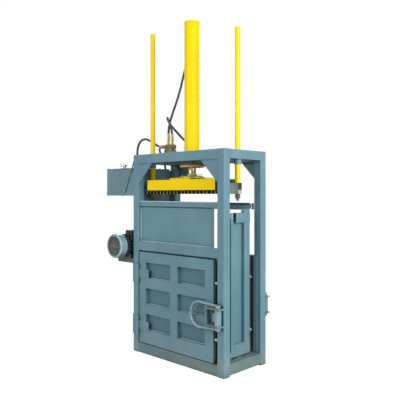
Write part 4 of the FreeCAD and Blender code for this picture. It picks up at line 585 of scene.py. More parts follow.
olive = steely("Olive valve casting", (0.26, 0.25, 0.15), (0.13, 0.12, 0.06), 0.6, (40, 40, 40), 0.4, 0.6)
cast_grey = steely("Cast pump body", (0.10, 0.11, 0.11), (0.05, 0.05, 0.045), 0.5, polish=0.45, bump=0.7)
black_rubber = rubbery("Black hose rubber", (0.012, 0.012, 0.011), (0.055, 0.055, 0.045))
olive_rubber = rubbery("Oily hose rubber", (0.035, 0.034, 0.022), (0.16, 0.15, 0.09))
print(len(bpy.data.materials), "finishes so far")

# %% [markdown]
# ## Finishes with a zone
# The comb, the platen and its arms are painted in front and dark on their sides as painted shade,
# and the arms' fronts are painted lighter as painted light. The guide rods are yellow down to their
# bare studs, the fan cover's grille is painted dark as shade, and the upper panel's folded rim
# carries a painted highlight. The doors' windows are painted darker than their frames as shade in
# their recesses, the rim rail is painted lighter as light and is black above a height, and the side
# walls are dark behind their columns. The part's own coordinates or its normals divide them.

# %% Zones
def faces_sideways(made):
    return made.ramp(made.calc("ABSOLUTE", made.facing("X")), 0.4, 0.7)


def part_of(letter, low, high):
    """A zone that grows from low to high along one coordinate, in metres."""
    return lambda made: made.ramp(made.where(letter), low, high)


def within(made, letter, outer, inner):
    """1 nearer to the machine's middle than inner, 0 beyond outer."""
    return made.ramp(made.calc("ABSOLUTE", made.where(letter)), outer, inner)


def under_beam(made):
    return made.calc("MAXIMUM", faces_sideways(made), part_of("Z", 1.3125, 1.3135)(made))


def ear_side(made):
    return made.times(faces_sideways(made), part_of("Z", 1.318, 1.321)(made))


def behind_column(made):
    return made.times(within(made, "X", 0.436, 0.434), part_of("Y", 0.150, 0.152)(made))


# The doors' window recesses, but not their side faces, get painted shade.
def window_shade_zone(made):
    return made.times(within(made, "Y", 0.2365, 0.2355), made.calc("SUBTRACT", 1.0, faces_sideways(made)))


MOTOR = Vector((-0.630, 0, 0.858))


def inside_rim(made):
    """1 within the grille's circle on the fan cover's front face."""
    across = made.calc("SUBTRACT", made.where("X"), MOTOR.x)
    up = made.calc("SUBTRACT", made.where("Z"), MOTOR.z)
    square = made.calc("ADD", made.times(across, across), made.times(up, up))
    return made.ramp(made.calc("SQRT", square), 0.0885, 0.0870)


# %% Finishes that the zones divide
# The platen's sideways faces, its open ends, are painted dark as shade.
beam_paint = zoned(
    "Platen enamel", YELLOW, YELLOW_THIN, faces_sideways, (0.05, 0.052, 0.03), YELLOW_WORN,
    dust=0.03, shine=0.1, grime=0.3, rust=0.05,
)
chamber_paint = zoned(
    "Scuffed chamber enamel", TEAL, TEAL_LIGHT, behind_column, (0.05, 0.032, 0.034), TEAL_WORN,
    gloss=0.45, wear=0.5, dust=0.5, rust=0.3, grime=0.0,
)
# The arms' fronts are painted lighter as painted light, and their sides dark as painted shade.
ear_paint = zoned(
    "Arm enamel, painted light and shade", (0.30, 0.40, 0.40), (0.36, 0.43, 0.42), ear_side, (0.03, 0.04, 0.012),
    (0.5, 0.55, 0.5),
)
# The rim rail is painted lighter than the frame as painted light, and is black above 1.217 m.
rail_paint = zoned(
    "Rim rail enamel, painted light", (0.2, 0.33, 0.38), (0.24, 0.38, 0.43), part_of("Z", 1.2155, 1.2175),
    (0.014, 0.02, 0.022), (0.6, 0.7, 0.7), wear=0.5, grime=0.0, dust=0.0,
)
# The window recesses are painted darker than the frames as shade.
door_paint = zoned(
    "Door enamel", TEAL, TEAL_LIGHT, window_shade_zone, (0.088, 0.188, 0.232), (0.5, 0.62, 0.64),
    wear=1.0, dust=0.4, rust=0.22, chips=48.0, shine=0.2, soft=0.0034,
)
# The panel's folded rim above 1.23 m is painted near white as a highlight.
panel_paint = zoned(
    "Panel enamel, painted rim highlight", TEAL, TEAL_LIGHT, part_of("Z", 1.2275, 1.2305), (0.80, 0.87, 0.87),
    TEAL_WORN, wear=0.7, dust=0.4, rust=0.2, shine=0.2, grime=0.75,
)
# The comb's sideways faces and its part above 1.3135 m are painted dark as shade in the channels.
comb_paint = zoned(
    "Comb enamel, grimy, painted shade on sides", (0.66, 0.52, 0.14), (0.45, 0.38, 0.10), under_beam, (0.035, 0.034, 0.016),
    YELLOW_WORN, rust=0.3,
)
rod_paint = zoned(
    "Guide rod enamel", YELLOW, YELLOW_THIN, part_of("Z", 1.291, 1.289), (0.16, 0.16, 0.15), YELLOW_WORN,
    grime=0.35,
)
# Inside the rim the cover is painted dark as the shade of the fan behind its grille.
cover_paint = zoned(
    "Fan cover enamel, painted grille shade", (0.20, 0.34, 0.37), (0.27, 0.42, 0.44), inside_rim, (0.07, 0.085, 0.085),
    (0.7, 0.8, 0.8), gloss=0.2, shine=0.8, dust=0.03,
)
print(len(bpy.data.materials), "finishes")

# %% [markdown]
# ## Painting the CAD nodes
# A node whose shape is right keeps its mesh and only gets its finish. One table says which piece has
# which paint, so that a change of mind is one line.

# %% Finish of each CAD node
FINISHES = {
    post_paint: "post_front_left post_front_right post_rear_left post_rear_right "
    "top_beam_front top_beam_rear top_beam_left top_beam_right",
    frame_paint: "mid_rail_front floor_bearers left_upper_plate guide_sleeve_left guide_sleeve_right "
    "front_hinge_brackets rear_hinge_brackets tank_shelf",
    stained_paint: "bottom_rail_front bottom_rail_rear bottom_rail_left bottom_rail_right",
    ear_paint: "platen_ear_left platen_ear_right",
    bridge_shade_paint: "cylinder_bridge",
    shelf_paint: "power_shelf",
    door_paint: "front_door rear_door",
    chamber_paint: "side_wall_left side_wall_right",
    latch_paint: "front_latch_cam rear_latch_cam front_latch_handle rear_latch_handle",
    tank_paint: "oil_tank",
    yellow_paint: "cylinder_tube cylinder_cap",
    flange_shade_paint: "cylinder_flange",
    beam_paint: "platen_beam",
    panel_paint: "upper_front_panel",
    rail_paint: "rear_rim_rail",
    floor_steel_and_shade: "chamber_floor",
    bell_paint: "bell_housing",
    stud_steel: "guide_rod_nuts",
    rod_paint: "guide_rod_left guide_rod_right",
    comb_paint: "platen_sole",
    motor_shade_paint: "motor_housing",
    cover_paint: "fan_cover",
    black_paint: "motor_rotor",
    rod_chrome: "piston piston_rod",
    hub_steel: "rod_hub",
    zinc: "valve_lever filler_cap",
    olive: "valve_block",
    cast_grey: "gear_pump",
}
plain = set(nodes) - set(hoses)
for finish, names in FINISHES.items():
    for name in names.split():
        nodes[name].data.materials.clear()
        nodes[name].data.materials.append(finish)
        plain.remove(name)
for name, piece in hoses.items():
    piece.data.materials.append(black_rubber if name == "upper_port_hose" else olive_rubber)
print("still plain:", sorted(plain))

# %% [markdown]
# ## Floor, backdrop and lamps
# A catalogue picture stands on white with nothing round it. The floor and the world show white to
# the camera and to reflections, and only the lamps and a modest sky light the machine, so the paint
# renders about as bright as it is written. The key lamp stands to the right, which makes the
# machine's right faces lighter than its front.

# %% Studio
def is_seen(made):
    """1 for rays that show the background: camera, glossy and transmission."""
    path = made.add("LightPath").outputs
    first = made.calc("MAXIMUM", path["Is Camera Ray"], path["Is Glossy Ray"])
    return made.calc("MAXIMUM", first, path["Is Transmission Ray"])


SKY_LIGHT = 0.5
world = bpy.data.worlds.new("Studio")
world.use_nodes = True
bpy.context.scene.world = world
sky = Wires(world.node_tree)
strength = sky.ramp(is_seen(sky), 0.0, 1.0, SKY_LIGHT, 1.0)
sky.fill(world.node_tree.nodes["Background"], {"Color": (1, 1, 1, 1), "Strength": strength})

FLOOR_HALF = 20
floor_mesh = bpy.data.meshes.new("floor")
corners = [(x * FLOOR_HALF, y * FLOOR_HALF, 0) for x, y in ((-1, -1), (1, -1), (1, 1), (-1, 1))]
floor_mesh.from_pydata(corners, [], [(0, 1, 2, 3)])
into_scene("floor", floor_mesh)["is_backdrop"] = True

floor_white = bpy.data.materials.new("White floor")
floor_white.use_nodes = True
floor_white.node_tree.nodes.clear()
ground = Wires(floor_white.node_tree)
matt = ground.add("BsdfDiffuse", {"Color": (0.5, 0.5, 0.5, 1)}).outputs[0]
faint = ground.add("BsdfDiffuse", {"Color": (0.22, 0.22, 0.22, 1)}).outputs[0]
glow = ground.add("Emission", {"Color": (1, 1, 1, 1), "Strength": 0.90}).outputs[0]
both = ground.add("AddShader", {0: faint, 1: glow}).outputs[0]
shown = ground.add("MixShader", {0: is_seen(ground), 1: matt, 2: both}).outputs[0]
ground.add("OutputMaterial", {"Surface": shown})
floor_mesh.materials.append(floor_white)


def lamp(name, place, aim, power, across):
    """A square soft box that faces a height above the machine's middle."""
    light = bpy.data.lights.new(name, "AREA")
    light.energy = power
    light.size = across
    box = into_scene(name, light)
    box.location = place
    box.rotation_euler = (Vector((0, 0, aim)) - Vector(place)).to_track_quat("-Z", "Y").to_euler()
    print(name, power, "W")


lamp("Key soft box", (4.6, -0.6, 2.6), 1.1, 186, 2.4)
lamp("Front soft box", (-0.6, -4.8, 2.2), 1.1, 84, 2.4)
lamp("Back soft box", (-3.2, 3.4, 3.0), 1.2, 70, 2.0)

# %% [markdown]
# ## Turned parts, bolts and beads
# Fittings, bolt heads and caps are turned shapes: an outline spun about an axis. With six sides and
# no smoothing the same helper gives a hexagon. A weld bead is a low ripple that follows an edge.
# All of them are rings of vertices with a skin from ring to ring.

# %% Helpers for rings
AXES = {"X": Vector((1, 0, 0)), "Y": Vector((0, 1, 0)), "Z": Vector((0, 0, 1))}
DOWN, LEFT = (0, 0, -1), (-1, 0, 0)


def placed(place, axis):
    """A matrix that turns +Z onto a direction, given as a letter or three numbers, at a place."""
    direction = AXES[axis] if isinstance(axis, str) else Vector(axis).normalized()
    return Matrix.Translation(place) @ direction.to_track_quat("Z", "Y").to_matrix().to_4x4()


def angles(count, first=0.0):
    return [first + 2 * math.pi * step / count for step in range(count)]


def polar(radius, angle, along):
    return Vector((radius * math.cos(angle), radius * math.sin(angle), along))


def around_y(angle):
    """A direction square to the Y axis."""
    return Vector((math.cos(angle), 0, math.sin(angle)))


def skin(bm, rings, closed=False):
    """Faces from ring to ring; a closed row of rings meets itself, an open one gets two caps."""
    for one, two in zip(rings, rings[1:] + (rings[:1] if closed else [])):
        for step in range(len(one)):
            after = (step + 1) % len(one)
            bm.faces.new((one[step], one[after], two[after], two[step]))
    if not closed:
        bm.faces.new(list(reversed(rings[0])))
        bm.faces.new(rings[-1])


def add_turned(bm, outline, place, axis="Z", sides=40, turn=0.0, closed=False):
    """Spins an outline of (radius, distance along the axis)."""
    matrix = placed(place, axis)
    spots = [[polar(radius, angle, along) for angle in angles(sides, turn)] for radius, along in outline]
    skin(bm, [[bm.verts.new(matrix @ spot) for spot in ring] for ring in spots], closed)


def add_disc(bm, radius, thick, place, axis="Z", sides=40):
    add_turned(bm, [(radius, 0), (radius, thick)], place, axis, sides)


def add_loop(bm, place, axis, radius, thick, sides=48, round_by=8, ripple=0.0):
    """A closed round wire; with a ripple it is a weld bead round a tube."""
    matrix = placed(place, axis)
    rings = []
    for step, angle in enumerate(angles(sides)):
        swell = thick * (1 + ripple * math.sin(step * 2.1))
        spots = [polar(radius + swell * math.cos(a), angle, swell * math.sin(a)) for a in angles(round_by)]
        rings.append([bm.verts.new(matrix @ spot) for spot in spots])
    skin(bm, rings, closed=True)


# %% Helpers for bolts, blocks and pieces
def add_hexagon(bm, place, axis, across, tall, turn=0.0):
    """A chamfered hexagon, as on a nut or a bolt head."""
    corner = across / math.sqrt(3)
    chamfer = 0.08 * across
    outline = [(corner * 0.94, 0), (corner, chamfer / 2), (corner, tall - chamfer / 2), (corner * 0.9, tall)]
    add_turned(bm, outline, place, axis, 6, turn)


def add_bolt(bm, place, axis, across, head):
    """A hexagon head on its washer."""
    thick = 0.12 * across
    rim = 0.68 * across
    add_turned(bm, [(rim, 0), (rim, thick * 0.7), (rim * 0.96, thick)], place, axis, 28)
    add_hexagon(bm, placed(place, axis) @ Vector((0, 0, thick * 0.9)), axis, across, head)


def add_cap_screw(bm, place, axis, radius, tall, key):
    """A round head with a hexagon socket sunk in it."""
    matrix = placed(place, axis)
    head = [(radius, 0, 0), (radius, tall * 0.8, 0), (radius * 0.93, tall, 0)]
    rings = []
    for reach, level, six in [*head, (key, tall, 1), (key, tall * 0.3, 1)]:
        ring = []
        for angle in angles(24):
            inward = math.cos(math.pi / 6) / math.cos(angle % (math.pi / 3) - math.pi / 6) if six else 1.0
            ring.append(bm.verts.new(matrix @ polar(reach * inward, angle, level)))
        rings.append(ring)
    skin(bm, rings)


def add_box(bm, low, high, chamfer):
    """A block between two corners, with its edges broken."""
    size = [b - a for a, b in zip(low, high)]
    middle = [(a + b) / 2 for a, b in zip(low, high)]
    matrix = Matrix.Translation(middle) @ Matrix.Diagonal((*size, 1))
    made = bmesh.ops.create_cube(bm, size=1, matrix=matrix)
    edges = list({edge for vert in made["verts"] for edge in vert.link_edges})
    bmesh.ops.bevel(bm, geom=edges, offset=chamfer, segments=2, affect="EDGES", profile=0.6)


def add_prism(bm, outline, start, end):
    """Pushes an outline of (y, z) from one X to another."""
    skin(bm, [[bm.verts.new((x, *pair)) for pair in outline] for x in (start, end)])


def piece_from(bm, name, finish, body="frame", smooth_below=38):
    """Turns a bmesh into a piece that rides on a body; edges sharper than the angle stay sharp."""
    mesh = bpy.data.meshes.new(name)
    bmesh.ops.recalc_face_normals(bm, faces=bm.faces)
    bm.to_mesh(mesh)
    bm.free()
    mesh.polygons.foreach_set("use_smooth", [True] * len(mesh.polygons))
    mesh.set_sharp_from_angle(angle=math.radians(smooth_below))
    mesh.materials.append(finish)
    piece = into_scene(name, mesh)
    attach(piece, body)
    print(name, len(mesh.polygons), "faces")
    return piece


# %% [markdown]
# ## Weld beads
# Every joint of the frame is welded. A bead is a row of overlapping puddles, so its width and height
# rise and fall every few millimetres. It is built as rings along the joint, half sunk in the steel,
# and where two faces lie flush it is low and broad, because it was ground a little.

# %% Helpers for beads
PUDDLE = 0.005
wobble = random.Random(4)


def weld_piece(bm, name, finish, body="frame"):
    piece_from(bm, name, finish, body, smooth_below=80)


def add_bead(bm, start, end, out, wide=0.0035, proud=0.0016):
    """A rippled bead from start to end that stands proud along out."""
    start, end, out = Vector(start), Vector(end), Vector(out).normalized()
    side = (end - start).normalized().cross(out)
    steps = max(2, round((end - start).length / PUDDLE * 3))
    rings = []
    for step in range(steps + 1):
        share = step / steps
        ripple = 0.86 + 0.14 * abs(math.sin(math.pi * step / 3)) + wobble.uniform(-0.05, 0.05)
        broad = wide * ripple * min(1.0, 0.45 + 6 * share, 0.45 + 6 * (1 - share))
        centre = start.lerp(end, share) + side * wobble.uniform(-0.0003, 0.0003)
        reach = [side * (math.cos(a) * broad) + out * (math.sin(a) * proud * ripple) for a in angles(8)]
        rings.append([bm.verts.new(centre + offset) for offset in reach])
    skin(bm, rings)


def add_bead_ring(bm, axis, level, first, second, open_below=False, proud=0.0016):
    """Beads on the four sides of a rectangle square to an axis."""
    letters = [letter for letter in "XYZ" if letter != axis]
    sides = [((value, second[0]), (value, second[1]), (out, 0)) for value, out in zip(first, (-1, 1))]
    sides += [((first[0], value), (first[1], value), (0, out)) for value, out in zip(second, (-1, 1))]
    if open_below:
        sides.pop(2)
    for begin, finish, out in sides:
        spots = []
        for pair, at_axis in ((begin, level), (finish, level), (out, 0)):
            spot = {**dict(zip(letters, pair)), axis: at_axis}
            spots.append([spot[letter] for letter in "XYZ"])
        add_bead(bm, *spots, proud=proud)


def signed(value):
    return math.copysign(1, value)


# %% Beads on the frame and the upper panel
POST_X, POST_Y, FRAME_Y = 0.435, 0.175, 0.24
GUIDE_X, PRESS_Y = 0.4675, -0.055
FRONT_POST, REAR_POST = (-FRAME_Y, -POST_Y), (POST_Y, FRAME_Y)

bm = bmesh.new()
for x in (-POST_X, POST_X):
    for post in (FRONT_POST, REAR_POST):
        add_bead_ring(bm, "X", x, post, (1.535, 1.61))
    for post in (FRONT_POST, REAR_POST):
        add_bead_ring(bm, "X", x, post, (0.0, 0.08), open_below=True)
    add_bead_ring(bm, "X", x, (-FRAME_Y, -0.204), (0.832, 0.906))
for y in (-POST_Y, POST_Y):
    for span in ((-0.5, -POST_X), (POST_X, 0.5)):
        add_bead_ring(bm, "Y", y, span, (1.54, 1.61))
        add_bead_ring(bm, "Y", y, span, (0.01, 0.09))
for side in (-1, 1):
    corner, tip = side * 0.434, side * 0.272
    for y, out in ((-0.236, -1), (-0.228, 1)):
        for end in (1, -1):
            foot, root = (corner, end * y, 1.372), (corner, end * y, 1.534)
            add_bead(bm, foot, root, (-side, end * out, 0), 0.003, 0.003)
            add_bead(bm, root, (tip, end * y, 1.534), (0, end * out, -1), 0.003, 0.003)
WALL_ENDS = ((0.102, 0.186), (1.080, 1.150))
for x, y, (low, high) in product((-0.4352, 0.4352), (-0.135, 0.059, 0.124), WALL_ENDS):
    add_bead(bm, (x, y, low), (x, y, high), (signed(x), 0, 0))
for y, x in product((-0.140, 0.0, 0.140), (-0.434, 0.434)):
    add_bead(bm, (x, y - 0.028, 0.0905), (x, y + 0.028, 0.0905), (0, 0, 1))
for y, x in product((-POST_Y, POST_Y), (-0.148, -0.102, 0.102, 0.148)):
    add_bead(bm, (x, y, 1.538), (x, y, 1.602), (signed(x), 0, 0), 0.003, 0.003)
for x in (-GUIDE_X, GUIDE_X):
    add_loop(bm, (x, PRESS_Y, 1.5395), "Z", 0.0285, 0.0022, 40, 8, 0.2)
add_bead(bm, (-0.497, -0.236, 1.277), (-0.497, 0.188, 1.277), DOWN)
add_bead(bm, (-0.501, -0.233, 1.480), (-0.501, -0.233, 1.560), (-1, 0, 1), 0.003, 0.003)
add_bead(bm, (-0.501, -0.238, 0.7575), (-0.501, 0.238, 0.7575), (-1, 0, 1), 0.003, 0.003)
weld_piece(bm, "frame_weld_beads", frame_paint)

PANEL_END = 0.4345
bm = bmesh.new()
add_bead(bm, (-0.432, -0.2105, 0.9062), (0.374, -0.2105, 0.9062), (0, -1, 1.2), 0.0042, 0.0034)
add_bead(bm, (-PANEL_END, -0.2105, 0.910), (-PANEL_END, -0.2105, 1.180), (1, -1, 0), 0.0034, 0.003)
add_bead(bm, (PANEL_END, -0.2205, 1.186), (PANEL_END, -0.2205, 1.215), (-1, -1, 0), 0.003, 0.003)
for x in (-PANEL_END, PANEL_END):
    add_loop(bm, (x, -0.211, 1.224), "X", 0.0092, 0.0022, 24, 8, 0.2)
weld_piece(bm, "panel_weld_beads", bead_paint)

# %% Beads on the doors
ENDS = (("front", -1, 0.0), ("rear", 1, 0.020))
for end, out, rise in ENDS:
    body = f"{end}_door_leaf"
    face = out * 0.2402
    bm = bmesh.new()
    for level in (0.225, 0.646):
        for side in (-1, 1):
            z = level + side * 0.033
            add_bead(bm, (-0.410, face, z), (-0.310, face, z), (0, out, side))
        add_bead(bm, (-0.3078, face, level - 0.032), (-0.3078, face, level + 0.032), (1, out, 0))
    weld_piece(bm, f"{body}_strap_beads", door_paint, body)
    bm = bmesh.new()
    for z, side in ((0.360, -1), (0.369, 1), (0.481, -1), (0.490, 1)):
        add_bead(bm, (0.350, face, z + rise), (0.388, face, z + rise), (0, out, side), 0.003, 0.0026)
    add_bead(bm, (0.3615, face, 0.372 + rise), (0.3615, face, 0.478 + rise), (-1, out, 0), 0.003, 0.0026)
    for z in (0.3645, 0.4855) if end == "front" else ():
        add_bead(bm, (0.378, -0.2950, z), (0.490, -0.2950, z), (0, -1, 0), 0.0042, 0.0008)
    weld_piece(bm, f"{body}_lug_beads", rusty_bead, body)

WINDOW_GAP = 0.077
WINDOW_WIDE = (0.420 + 0.392 - 3 * WINDOW_GAP) / 2
COLUMNS = [-0.420 + WINDOW_GAP + number * (WINDOW_WIDE + WINDOW_GAP) for number in range(2)]
WINDOWS = [*product(COLUMNS, [0.197 + 0.2075 * row for row in range(3)])]
for end, out, face in (("front", -1, -0.2112), ("rear", 1, 0.2052)):
    body = f"{end}_door_leaf"
    # The pale beads under the windows are partly a painted highlight on the window ledges.
    bm = bmesh.new()
    for left, low in WINDOWS:
        right = left + WINDOW_WIDE
        add_bead(bm, (left + 0.003, face, low), (right - 0.003, face, low), (0, out, 1), 0.0034, 0.0030)
    weld_piece(bm, f"{body}_window_beads", bead_paint, body)
    bm = bmesh.new()
    for left, low in WINDOWS:
        for x, side in ((left, 1), (left + WINDOW_WIDE, -1)):
            add_bead(bm, (x, face, low + 0.004), (x, face, low + 0.124), (side, out, 0), 0.0028, 0.0024)
    weld_piece(bm, f"{body}_upright_beads", door_paint, body)

# %% Beads on the cylinder and the platen
bm = bmesh.new()
add_loop(bm, (0, PRESS_Y, 2.6238), "Z", 0.0598, 0.0022, 96, 8, 0.25)
for level in (1.672, 2.560):
    add_loop(bm, (-0.0424, -0.0126, level), (-1, 1, 0), 0.0172, 0.0024, 40, 8, 0.2)
weld_piece(bm, "cylinder_weld_beads", yellow_paint)
bm = bmesh.new()
add_bead_ring(bm, "Z", 1.4104, (-0.115, 0.115), (-0.187, 0.077), proud=0.003)
for y in (-0.145, 0.035):
    add_bead(bm, (-0.360, y, 1.4098), (0.360, y, 1.4098), (0, 0, 1), 0.003, 0.001)
weld_piece(bm, "platen_weld_beads", yellow_paint, "ram")
bm = bmesh.new()
for x, y in product((-0.3735, 0.3735), (-0.0755, -0.0345)):
    out = (signed(x), signed(y - PRESS_Y), 0)
    add_bead(bm, (x, y, 1.322), (x, y, 1.368), out, 0.003, 0.0026)
weld_piece(bm, "arm_weld_beads", frame_paint, "ram")

# %% [markdown]
# ## The door's stop strip
# A strip behind the middle rail hangs a little below it. The closed door comes to rest against it, so
# no light shows over the door. It is one folded strip: its upper half is spot-welded to the rail and
# its lower half stands a millimetre clear of the door.

# %% Stop strip
bm = bmesh.new()
RAIL_BACK, STRIP_FACE, STRIP_BACK = -0.204, -0.2028, -0.1990
STRIP_TOP, STRIP_LOW = 0.880, 0.796
strip = [(RAIL_BACK, STRIP_TOP), (RAIL_BACK, 0.830), (STRIP_FACE, 0.826), (STRIP_FACE, STRIP_LOW)]
strip += [(STRIP_BACK, STRIP_LOW), (STRIP_BACK, STRIP_TOP)]
add_prism(bm, strip, -0.398, 0.398)
for number in range(9):
    spot_weld = [(0.0045, -0.001), (0.004, 0.0004), (0.0022, 0.0008)]
    add_turned(bm, spot_weld, (-0.36 + 0.09 * number, STRIP_BACK, 0.860), "Y", 20)
piece_from(bm, "door_stop_strip", frame_paint)

# %% [markdown]
# ## Hose ends
# Each hose ends in a swivel nut and a crimped ferrule. The nut is a hexagon, the ferrule a turned
# sleeve with crimp grooves that narrows to the hose, so the rubber seems to grow out of it. Both sit
# on the CAD fitting's face and point along the hose's first run.

# %% Nuts and ferrules
NUT_LONG = 0.015
# The direction away from the fitting and the ferrule's length, at a hose's start and at its end.
HOSE_ENDS = {
    "lower_port_hose": (((0, 0, 1), 0.040), ((-1, 1, 0), 0.030)),
    "upper_port_hose": (((0, 0, 1), 0.046), ((-1, 1, 0), 0.030)),
    "return_hose": ((LEFT, 0.030), ((0, 0, 1), 0.044)),
    "pressure_hose": ((LEFT, 0.030), ((0, 0, 1), 0.036)),
    "suction_hose": ((DOWN, 0.044), (LEFT, 0.022)),
}


def ferrule_outline(start, long):
    """Radius and distance of a crimped sleeve, with grooves and a taper to the rubber."""
    sleeve, groove = 0.0134, 0.0124
    outline = [(0.0100, start), (0.0112, start + 0.002), (sleeve, start + 0.004)]
    grooves = max(2, int(long / 0.009))
    for number in range(grooves):
        at = start + 0.005 + (long - 0.009) * (number + 0.5) / grooves
        crimp = ((sleeve, -0.0018), (groove, -0.0008), (groove, 0.0008), (sleeve, 0.0018))
        outline += [(radius, at + step) for radius, step in crimp]
    return outline + [(sleeve, start + long - 0.003), (0.0104, start + long)]


nuts, sleeves = bmesh.new(), bmesh.new()
for node, (start, end) in HOSE_ENDS.items():
    route = HOSE_ROUTES[node][1]
    for place, (away, long) in ((route[0], start), (route[-1], end)):
        add_hexagon(nuts, place, away, 0.027, NUT_LONG, 0.3)
        add_turned(sleeves, ferrule_outline(NUT_LONG - 0.001, long), place, away, 32)
piece_from(nuts, "hose_swivel_nuts", brass)
piece_from(sleeves, "hose_ferrules", ferrule_zinc)

bm = bmesh.new()
for spot, axis in (((-0.724, -0.014, 1.5055), "Z"), ((-0.760, 0.090, 1.2995), DOWN)):
    add_turned(bm, [(0.022, 0), (0.022, 0.003), (0.019, 0.005)], spot, axis, 36)
piece_from(bm, "tank_port_bosses", tank_paint)

# %% [markdown]
# ## The valve
# The control valve is a casting of two sections on a plated foot: a broad spool body below and a
# narrower port section above it, with its adapters screwed in. The CAD block gives its outer size.
# This dressed one keeps the foot, the ports and the lever's lug where they are, and steps the body in
# where the casting does.

# %% Valve in place of the CAD block
SPOOL_Y, SPOOL_Z = 0.020, 1.636
PORTS_X, SIDE_PORTS_Y, SIDE_PORTS_Z = (-0.356, -0.308), (0.006, 0.034), 1.690
LEVER_PIN = (-0.340, 0.062, SPOOL_Z)

bm = bmesh.new()
add_box(bm, (-0.500, -0.025, 1.610), (-0.265, 0.065, 1.618), 0.0012)
plate_faces = len(bm.faces)
add_box(bm, (-0.380, -0.008, 1.6178), (-0.284, 0.048, 1.657), 0.004)
add_box(bm, (-0.378, -0.004, 1.655), (-0.290, 0.044, 1.672), 0.003)
add_box(bm, (-0.380, -0.007, 1.670), (-0.286, 0.047, 1.700), 0.004)
for y in SIDE_PORTS_Y:
    add_turned(bm, [(0.011, 0), (0.011, 0.006), (0.0095, 0.007)], (-0.379, y, SIDE_PORTS_Z), LEFT, 32)
add_turned(bm, [(0.016, 0), (0.016, 0.012), (0.013, 0.016)], (-0.2845, SPOOL_Y, SPOOL_Z), "X", 32)
add_turned(bm, [(0.016, 0), (0.016, 0.010), (0.012, 0.013)], (-0.3795, SPOOL_Y, SPOOL_Z), LEFT, 32)
add_box(bm, (-0.340, 0.0478, 1.624), (-0.332, 0.062, 1.648), 0.0008)
add_disc(bm, 0.012, 0.008, LEVER_PIN, "X")
add_disc(bm, 0.004, 0.024, LEVER_PIN, "X", 24)
body_faces = len(bm.faces)
for x in PORTS_X:
    add_hexagon(bm, (x, SPOOL_Y, 1.6995), "Z", 0.030, 0.0135, 0.1)
    adapter = [(0.0105, 0.0), (0.0105, 0.012), (0.013, 0.013), (0.013, 0.0275)]
    add_turned(bm, adapter, (x, SPOOL_Y, 1.7125), "Z", 36)
for y in SIDE_PORTS_Y:
    add_hexagon(bm, (-0.386, y, SIDE_PORTS_Z), LEFT, 0.0225, 0.008, 0.2)
    add_disc(bm, 0.0092, 0.009, (-0.393, y, SIDE_PORTS_Z), LEFT, 28)
for number, face in enumerate(bm.faces):
    face.material_index = 1 if number < plate_faces else (0 if number < body_faces else 2)
valve = piece_from(bm, "spool_valve", olive)
valve.data.materials.append(zinc)
valve.data.materials.append(brass)
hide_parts("valve_block")

# %% Valve screws and the lever's grip
bm = bmesh.new()
for x, y in product((-0.485, -0.410, -0.275), (-0.015, 0.055)):
    add_bolt(bm, (x, y, 1.618), "Z", 0.010, 0.006)
for x, y in product((-0.366, -0.298), (0.001, 0.039)):
    add_cap_screw(bm, (x, y, 1.6995), "Z", 0.0048, 0.0045, 0.0026)
piece_from(bm, "valve_screws", zinc)
bm = bmesh.new()
grip = [(0.0085, 0), (0.0118, 0.003), (0.0134, 0.009), (0.0136, 0.016)]
grip += [(0.0122, 0.023), (0.0085, 0.0275), (0.003, 0.0285)]
add_turned(bm, grip, (-0.3247, 0.1430, 1.636), "Y", 40)
piece_from(bm, "lever_grip", black_paint, "lever")

# %% [markdown]
# ## The latch handles
# The door's handle is a thick round bar bent almost to a half circle, with an eye at each end that
# grips the pin above and below the lugs. A path of points is swept with a round section. It takes the
# CAD handle's place on the same pin, and its bend is as round as the real one's.

# %% Sweep a bar and make both handles
LATCH_X, LATCH_Y, LATCH_Z = 0.467, 0.268, 0.425
HANDLE_LEFT, BOW = 0.1995, 0.091


def add_sweep(bm, path, radius):
    """A round bar along a path in a plane square to Y, with closed ends."""
    rings = []
    for number, spot in enumerate(path):
        before, after = path[max(number - 1, 0)], path[min(number + 1, len(path) - 1)]
        side = (after - before).normalized().cross(AXES["Y"])
        reach = [AXES["Y"] * (radius * math.cos(a)) + side * (radius * math.sin(a)) for a in angles(20)]
        rings.append([bm.verts.new(spot + offset) for offset in reach])
    skin(bm, rings)


for end, out, rise in ENDS:
    body = f"{end}_latch"
    y, middle = out * LATCH_Y, LATCH_Z + rise
    centre = Vector((HANDLE_LEFT + BOW, y, middle))
    path = [centre + BOW * around_y(math.pi / 2 + math.pi * step / 24) for step in range(25)]
    path = [Vector((0.458, y, middle + 0.081)), Vector((0.380, y, middle + 0.0855)), *path]
    path += [Vector((0.380, y, middle - 0.0855)), Vector((0.458, y, middle - 0.081))]
    bm = bmesh.new()
    add_sweep(bm, path, 0.0092)
    eye = [(0.0125, 0.0), (0.0172, 0.0), (0.018, 0.001), (0.018, 0.020), (0.0172, 0.021), (0.0125, 0.021)]
    for side in (-1, 1):
        low = middle + side * 0.0785 - 0.0105
        add_turned(bm, eye, (LATCH_X, y, low), "Z", 36, closed=True)
    handle = piece_from(bm, f"{end}_bent_handle", bar_paint, body=body)
    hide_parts(f"{end}_latch_handle")
    bm = bmesh.new()
    for side in (-1, 1):
        pin_end = [(0.0120, 0), (0.0120, 0.002), (0.0105, 0.004)]
        add_turned(bm, pin_end, (LATCH_X, y, middle + side * 0.0858), (0, 0, side), 32)
        add_disc(bm, 0.0165, 0.0012, (LATCH_X, y, middle + side * 0.0888), (0, 0, side), 32)
    piece_from(bm, f"{end}_pin_ends", bare_pin, body)

# %% [markdown]
# ## Motor, pump and filler
# The motor's fan sits behind a guard of fine concentric wires. Its terminal box is closed by a lid
# with four screws and a cable gland, and bolts hold the feet, the bell housing and the pump. The
# filler is a chromed breather cap with a ribbed grip on a screwed flange.

# %% Fan guard and rim
def on_motor(y, x=0.0, z=0.0):
    return MOTOR + Vector((x, y, z))


